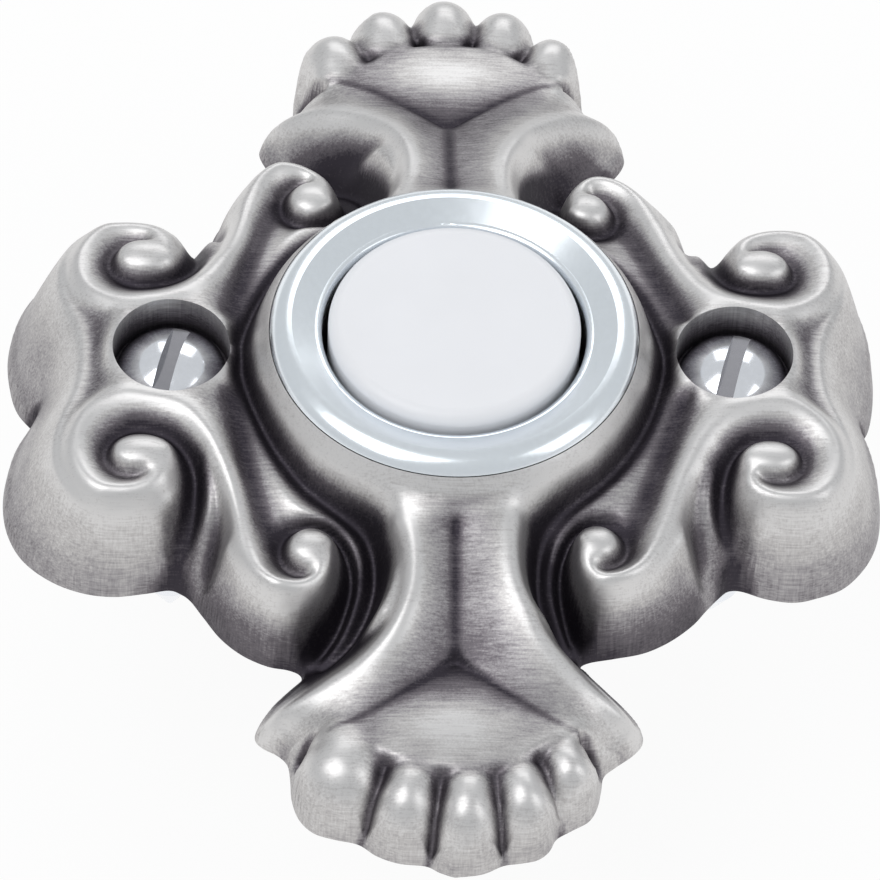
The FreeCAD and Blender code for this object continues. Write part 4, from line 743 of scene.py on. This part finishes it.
def core_pocket(bm, centre_x, centre_y):
    """Tapered round pocket in the back; returns its lower and its upper ring."""
    low = []
    high = []
    for k in range(CORE_SIDES):
        angle = 2 * math.pi * k / CORE_SIDES
        spot = (centre_x + CORE_RADIUS * math.cos(angle), centre_y + CORE_RADIUS * math.sin(angle))
        top = (centre_x + CORE_TOP * math.cos(angle), centre_y + CORE_TOP * math.sin(angle))
        low.append(bm.verts.new((spot[0] * MM, spot[1] * MM, 0)))
        high.append(bm.verts.new((top[0] * MM, top[1] * MM, CORE_DEPTH * MM)))
    for k in range(CORE_SIDES):
        following = (k + 1) % CORE_SIDES
        bm.faces.new((low[k], low[following], high[following], high[k]))
    bm.faces.new(high)
    return low, high


def plate_mesh():
    """Closed mesh of the cast plate: relief, holes, recesses and hollow back."""
    points, quads, outer, holes = plate_face()
    mesh = bpy.data.meshes.new("cast_relief")
    mesh.from_pydata((points * MM).tolist(), [], quads.tolist())
    bm = bmesh.new()
    bm.from_mesh(mesh)
    vertices = list(bm.verts)
    rims = [[vertices[k] for k in outer]]
    sharp = closed_pairs(rims[0])
    for loop, centre, side in holes:
        ring = [vertices[k] for k in loop]
        sharp += closed_pairs(ring)
        steps = [(None, RIM_SEAT), (BARREL_HOLE, RIM_SEAT), (BARREL_HOLE, NUT_RECESS_DEPTH),
                 (NUT_RECESS_RADIUS, NUT_RECESS_DEPTH), (NUT_RECESS_RADIUS, 0)]
        if side:
            steps = [(None, SCREW_SEAT), (SCREW_HOLE, SCREW_SEAT), (SCREW_HOLE, 0)]
        for radius, height in steps:
            ring = ring_below(bm, ring, centre, radius, height)
            sharp += closed_pairs(ring)
        rims.append(ring)

    edges = [bm.edges.get(pair) or bm.edges.new(pair) for ring in rims for pair in closed_pairs(ring)]
    for centre_x, centre_y in CORES:
        low, high = core_pocket(bm, centre_x, centre_y)
        edges += [bm.edges.get(pair) for pair in closed_pairs(low)]
        sharp += closed_pairs(low) + closed_pairs(high)
    bmesh.ops.triangle_fill(bm, edges=edges, use_beauty=False, use_dissolve=False)
    bmesh.ops.recalc_face_normals(bm, faces=bm.faces)
    for pair in sharp:
        edge = bm.edges.get(pair)
        if edge:
            edge.smooth = False
    for face in bm.faces:
        face.smooth = True
    bm.to_mesh(mesh)
    bm.free()
    return mesh


def patina_and_painted_light_of(grid, surface, x, y, z):
    """How dark the finish is: hollows and creases keep the dark patina, crests are rubbed bright, and the
    pads get painted shadow beside the arm edges and a painted highlight in the middle.
    """
    inside = inside_polygon(outline_polygon(), grid.x, grid.y)
    # The ground goes on falling beyond the outline, so that the walls' feet don't count as hollows.
    beyond = distance_from(inside, grid.step, 4.0)
    ground = np.where(inside, surface, -5.0 * np.minimum(beyond, 4.0))
    fine = blur(ground, 0.3, grid.step)
    near = blur(ground, 0.8, grid.step)
    wide = blur(ground, 1.9, grid.step)
    across = np.abs(grid.x)
    along = np.abs(grid.y)
    neck = (1 - smooth_step(2.2, 3.4, across)) * smooth_step(14.5, 15.5, along)
    neck *= 1 - smooth_step(24, 26, along)
    hollow = (np.clip((near - fine) / 0.22, -0.8, 1.1) * 0.5
              + np.clip((wide - fine) / 0.9, -0.4, 1.1) * 0.6 * (1 - 0.6 * neck))
    depth = np.clip((relief_crest - fine) / DARK_DEPTH, 0, 1)
    collar = 1 - smooth_step(14.2, 15.0, np.hypot(grid.x, grid.y))
    arm_wall = smooth_step(20.6, 21.8, along) * depth * (along < 28)
    # relief_tint adds the painted shadow and the painted highlight on the pads.
    dark = PATINA_BASE + 0.6 * hollow + 0.42 * depth + 0.3 * arm_wall - 0.14 * collar + relief_tint
    dark = sample(grid, dark, x, y)
    recess = np.hypot(np.abs(x) - SCREW_OFFSET, y) < SCREW_RECESS + 0.02
    return np.where(recess & (z < SCREW_SEAT + 0.1), RECESS_PATINA, dark)


def new_material(name):
    """New material with its node tree and shader."""
    material = bpy.data.materials.new(name)
    material.use_nodes = True
    tree = material.node_tree
    return material, tree, tree.nodes["Principled BSDF"]


def add(tree, kind, values=None, **links):
    """New node with its settings, its input values and its links."""
    node = tree.nodes.new(kind)
    for key, value in (values or {}).items():
        if isinstance(key, int) or key in node.inputs.keys():
            node.inputs[key].default_value = value
        else:
            setattr(node, key, value)
    for key, socket in links.items():
        tree.links.new(socket, node.inputs[key.replace("_", " ")])
    return node


def compute(tree, operation, *terms):
    """Math node over numbers and sockets; returns its output."""
    node = add(tree, "ShaderNodeMath", {"operation": operation})
    for k, term in enumerate(terms):
        if isinstance(term, float):
            node.inputs[k].default_value = term
        else:
            tree.links.new(term, node.inputs[k])
    return node.outputs[0]


def mix_shaders(tree, share, first, second):
    """Mix of two shader outputs; returns its output."""
    mix = add(tree, "ShaderNodeMixShader")
    for k, socket in enumerate((share, first, second)):
        tree.links.new(socket, mix.inputs[k])
    return mix.outputs[0]


def object_place(tree):
    """Place on the piece, for noises."""
    return add(tree, "ShaderNodeTexCoord").outputs["Object"]


def noise(tree, place, scale, detail, roughness=0.5, turn=(0.0, 0.0, 0.0)):
    """Noise that is stretched and turned on the piece."""
    mapped = add(tree, "ShaderNodeMapping", {"Scale": scale, "Rotation": turn}, Vector=place)
    values = {"Scale": 1.0, "Detail": detail, "Roughness": roughness}
    return add(tree, "ShaderNodeTexNoise", values, Vector=mapped.outputs["Vector"]).outputs["Fac"]


def spread(tree, value, span, result):
    """Map of one range of values onto another; returns its output."""
    values = {"From Min": span[0], "From Max": span[1], "To Min": result[0], "To Max": result[1]}
    return add(tree, "ShaderNodeMapRange", values, Value=value).outputs["Result"]


def add_bump(tree, shader, height, strength, distance):
    """Bump on a shader; the distance is in metres."""
    bump = add(tree, "ShaderNodeBump", {"Strength": strength, "Distance": distance}, Height=height)
    tree.links.new(bump.outputs["Normal"], shader.inputs["Normal"])


def colour_ramp(tree, value, stops):
    """Colour ramp with stops from first to last; returns its output."""
    ramp = add(tree, "ShaderNodeValToRGB", {}, Fac=value)
    elements = ramp.color_ramp.elements
    for k, (position, colour) in ((0, stops[0]), (1, stops[-1])):
        elements[k].position = position
        elements[k].color = colour
    for position, colour in stops[1:-1]:
        elements.new(position).color = colour
    return ramp.outputs["Color"]


def pewter_material():
    """Antiqued casting: dark patina with painted shadow and highlight on the pads, from the vertex
    attribute, broken up by clouds and brushing.
    """
    material, tree, shader = new_material("antique_pewter")
    place = object_place(tree)
    # The attribute holds the patina together with the painted shadow and highlight on the pads.
    patina_and_painted_light = add(tree, "ShaderNodeAttribute", {"attribute_name": "patina_and_painted_light"}).outputs["Fac"]
    cloud = add(tree, "ShaderNodeTexNoise", {"Scale": 420.0, "Detail": 5.0, "Roughness": 0.6}, Vector=place)
    dark = compute(tree, "ADD", patina_and_painted_light, compute(tree, "MULTIPLY_ADD", cloud.outputs["Fac"], 0.22, -0.11))
    for scale, turn, strength in PEWTER_NOISES:
        streak = noise(tree, place, scale, 4.0, 0.7, (turn, 0.6 * turn, turn))
        dark = compute(tree, "ADD", dark, compute(tree, "MULTIPLY_ADD", streak, strength, -0.5 * strength))
    tree.links.new(colour_ramp(tree, dark, PEWTER_STOPS), shader.inputs["Base Color"])
    shader.inputs["Metallic"].default_value = 1.0
    tree.links.new(spread(tree, dark, (0.0, 1.0), (0.4, 0.55)), shader.inputs["Roughness"])
    brush = noise(tree, place, (250.0, 2600.0, 2600.0), 3.0, 0.65, (0.0, 0.0, 0.5))
    add_bump(tree, shader, brush, 0.3, 0.00006)
    return material


def metal_material(name, colour, roughness, bump=0.1, scale=900.0, unevenness=0.25):
    """Bright or plated metal with fine marks."""
    material, tree, shader = new_material(name)
    shader.inputs["Metallic"].default_value = 1.0
    marks = noise(tree, object_place(tree), (scale, scale, scale), 4.0, 0.6)
    tone = spread(tree, marks, (0.3, 0.7), (1 - 0.28 * unevenness, 1 + 0.2 * unevenness))
    mix = add(tree, "ShaderNodeMix", {"data_type": "RGBA", "blend_type": "MULTIPLY", "clamp_result": False})
    mix.inputs[0].default_value = 1.0
    mix.inputs[6].default_value = (*colour, 1)
    tree.links.new(tone, mix.inputs[7])
    tree.links.new(mix.outputs[2], shader.inputs["Base Color"])
    rough = spread(tree, marks, (0.3, 0.7), (roughness * (1 - unevenness), roughness * (1 + unevenness)))
    tree.links.new(rough, shader.inputs["Roughness"])
    add_bump(tree, shader, marks, bump, 0.00003)
    return material


def paint_shade_on_flats(material):
    """Paints shade on faces that point straight up, such as the floor of a slot: a darker colour that stands
    in for the shade there.
    """
    tree = material.node_tree
    shader = tree.nodes["Principled BSDF"]
    colour = shader.inputs["Base Color"].links[0].from_socket
    facing = add(tree, "ShaderNodeNewGeometry").outputs["True Normal"]
    upward = add(tree, "ShaderNodeSeparateXYZ", Vector=facing).outputs["Z"]
    mix = add(tree, "ShaderNodeMix", {"data_type": "RGBA"})
    tree.links.new(compute(tree, "GREATER_THAN", upward, FACING_UP), mix.inputs[0])
    tree.links.new(colour, mix.inputs[6])
    mix.inputs[7].default_value = SLOT_SHADE_COLOUR
    tree.links.new(mix.outputs[2], shader.inputs["Base Color"])


def plastic_material(name, colour, roughness, variation=0.04):
    """Moulded plastic with faint unevenness."""
    material, tree, shader = new_material(name)
    place = object_place(tree)
    cloud = add(tree, "ShaderNodeTexNoise", {"Scale": 160.0, "Detail": 3.0}, Vector=place).outputs["Fac"]
    darker = (*[c * (1 - variation) for c in colour], 1)
    lighter = (*[min(1, c * (1 + variation)) for c in colour], 1)
    tree.links.new(colour_ramp(tree, cloud, [(0.3, darker), (0.7, lighter)]), shader.inputs["Base Color"])
    shader.inputs["Roughness"].default_value = roughness
    grain = add(tree, "ShaderNodeTexNoise", {"Scale": 2600.0, "Detail": 2.0}, Vector=place).outputs["Fac"]
    add_bump(tree, shader, grain, 0.06, 0.00003)
    return material


def set_material(piece, material):
    """Gives the piece one material."""
    piece.data.materials.clear()
    piece.data.materials.append(material)


def make_finishes():
    """Material for each slot of the record."""
    screw = metal_material("screw_chrome_and_slot_shade", (0.88, 0.90, 0.94), 0.14, bump=0.03, scale=2400.0, unevenness=0.1)
    # Painted shade on the floors of the screws' slots.
    paint_shade_on_flats(screw)
    return {
        "pewter": pewter_material(),
        "rim_chrome": metal_material("rim_chrome_finish", (0.86, 0.91, 0.95), 0.22, bump=0.02, scale=2400.0,
                                     unevenness=0.06),
        "screw_chrome": screw,
        "zinc_steel": metal_material("zinc_finish", (0.60, 0.61, 0.63), 0.32),
        "spring_steel": metal_material("spring_finish", (0.50, 0.50, 0.52), 0.25),
        "brass": metal_material("brass_finish", (0.72, 0.55, 0.25), 0.25),
        "cap_plastic": plastic_material("cap_finish", (0.81, 0.815, 0.84), 0.35, variation=0.015),
        "stem_plastic": plastic_material("stem_finish", (0.75, 0.75, 0.72), 0.4),
        "housing_plastic": plastic_material("housing_finish", (0.035, 0.033, 0.032), 0.45, variation=0.15),
    }


def make_plate():
    """The cast plate with its relief, its patina and painted shadow and highlight on the pads, in place of
    the CAD solid.
    """
    plate = bpy.data.objects.new("plate_relief", plate_mesh())
    bpy.context.scene.collection.objects.link(plate)
    coordinates = np.empty(len(plate.data.vertices) * 3)
    plate.data.vertices.foreach_get("co", coordinates)
    coordinates = coordinates.reshape(-1, 3) / MM
    dark = patina_and_painted_light_of(relief_grid, relief, *coordinates.T)
    # The attribute holds patina together with painted shadow and a painted highlight on the pads.
    attribute = plate.data.attributes.new("patina_and_painted_light", "FLOAT", "POINT")
    attribute.data.foreach_set("value", np.clip(dark, 0, 1).astype(np.float32))
    set_material(plate, finishes["pewter"])
    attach(plate, "root")
    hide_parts("cast_plate")


def make_coil():
    """The return spring again, as a piece of its own with its own mesh, on the root."""
    source = frame["nodes"]["return_spring"]
    coil = bpy.data.objects.new("return_coil", source.data.copy())
    bpy.context.scene.collection.objects.link(coil)
    coil.matrix_world = source.matrix_world.copy()
    set_material(coil, finishes["spring_steel"])
    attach(coil, "root")
    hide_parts("return_spring")
    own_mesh(coil)


def make_floor():
    """Pale floor that looks white to the camera and to glossy rays, and keeps the shadow."""
    reach = FLOOR_REACH
    mesh = bpy.data.meshes.new("floor")
    mesh.from_pydata([(-reach, -reach, 0), (reach, -reach, 0), (reach, reach, 0), (-reach, reach, 0)], [],
                     [(0, 1, 2, 3)])
    floor = bpy.data.objects.new("floor", mesh)
    floor.location.z = FLOOR_LEVEL
    bpy.context.scene.collection.objects.link(floor)
    material, tree, shader = new_material("floor_paint")
    shader.inputs["Base Color"].default_value = (0.9, 0.9, 0.9, 1)
    shader.inputs["Roughness"].default_value = 0.8
    path = add(tree, "ShaderNodeLightPath")
    seen = compute(tree, "MAXIMUM", path.outputs["Is Camera Ray"], path.outputs["Is Glossy Ray"])
    share = compute(tree, "MULTIPLY", seen, FLOOR_GLOW)
    white = add(tree, "ShaderNodeEmission", {"Color": (1, 1, 1, 1), "Strength": 1.0})
    surface = mix_shaders(tree, share, shader.outputs["BSDF"], white.outputs["Emission"])
    tree.links.new(surface, tree.nodes["Material Output"].inputs["Surface"])
    floor.data.materials.append(material)


def make_world():
    """Pale surroundings that light the piece, and plain white for the camera."""
    world = bpy.data.worlds.new("studio")
    bpy.context.scene.world = world
    world.use_nodes = True
    tree = world.node_tree
    background = tree.nodes["Background"]
    background.inputs["Color"].default_value = WORLD_COLOUR
    background.inputs["Strength"].default_value = WORLD_STRENGTH
    path = add(tree, "ShaderNodeLightPath")
    bright = add(tree, "ShaderNodeBackground", {"Color": (1, 1, 1, 1), "Strength": 1.0})
    surface = mix_shaders(tree, path.outputs["Is Camera Ray"], background.outputs[0], bright.outputs[0])
    tree.links.new(surface, tree.nodes["World Output"].inputs["Surface"])


def make_lamp(name, place, size, power):
    """Soft lamp that points at the part."""
    light = bpy.data.lights.new(name, "AREA")
    light.shape = "RECTANGLE"
    light.size = size[0]
    light.size_y = size[1]
    light.energy = power
    lamp = bpy.data.objects.new(name, light)
    lamp.location = place
    lamp.rotation_euler = (-Vector(place)).to_track_quat("-Z", "Y").to_euler()
    bpy.context.scene.collection.objects.link(lamp)


def make_camera():
    """The camera of the photograph."""
    data = bpy.data.cameras.new("photo_camera")
    data.sensor_width = SENSOR_WIDTH
    data.lens = LENS
    data.clip_start = 0.01
    camera = bpy.data.objects.new("photo_camera", data)
    bpy.context.scene.collection.objects.link(camera)
    back = Vector((math.sin(AZIMUTH) * math.cos(ELEVATION), -math.cos(AZIMUTH) * math.cos(ELEVATION),
                   math.sin(ELEVATION)))
    right = (-back).cross(Vector((0, 0, 1))).normalized()
    up = right.cross(-back)
    turned_right = math.cos(ROLL) * right + math.sin(ROLL) * up
    turned_up = -math.sin(ROLL) * right + math.cos(ROLL) * up
    matrix = Matrix((turned_right, turned_up, back)).transposed().to_4x4()
    matrix.translation = (Vector(TARGET) + back * DISTANCE) * MM
    camera.matrix_world = matrix
    bpy.context.scene.camera = camera


finishes = make_finishes()
make_plate()
for part in frame["record"]["subparts"]:
    set_material(frame["nodes"][part["node"]], finishes[part["material_slot"]])
make_coil()

bpy.context.scene.view_settings.view_transform = "Standard"
make_floor()
make_world()
for lamp_values in LAMPS:
    make_lamp(*lamp_values)
make_camera()
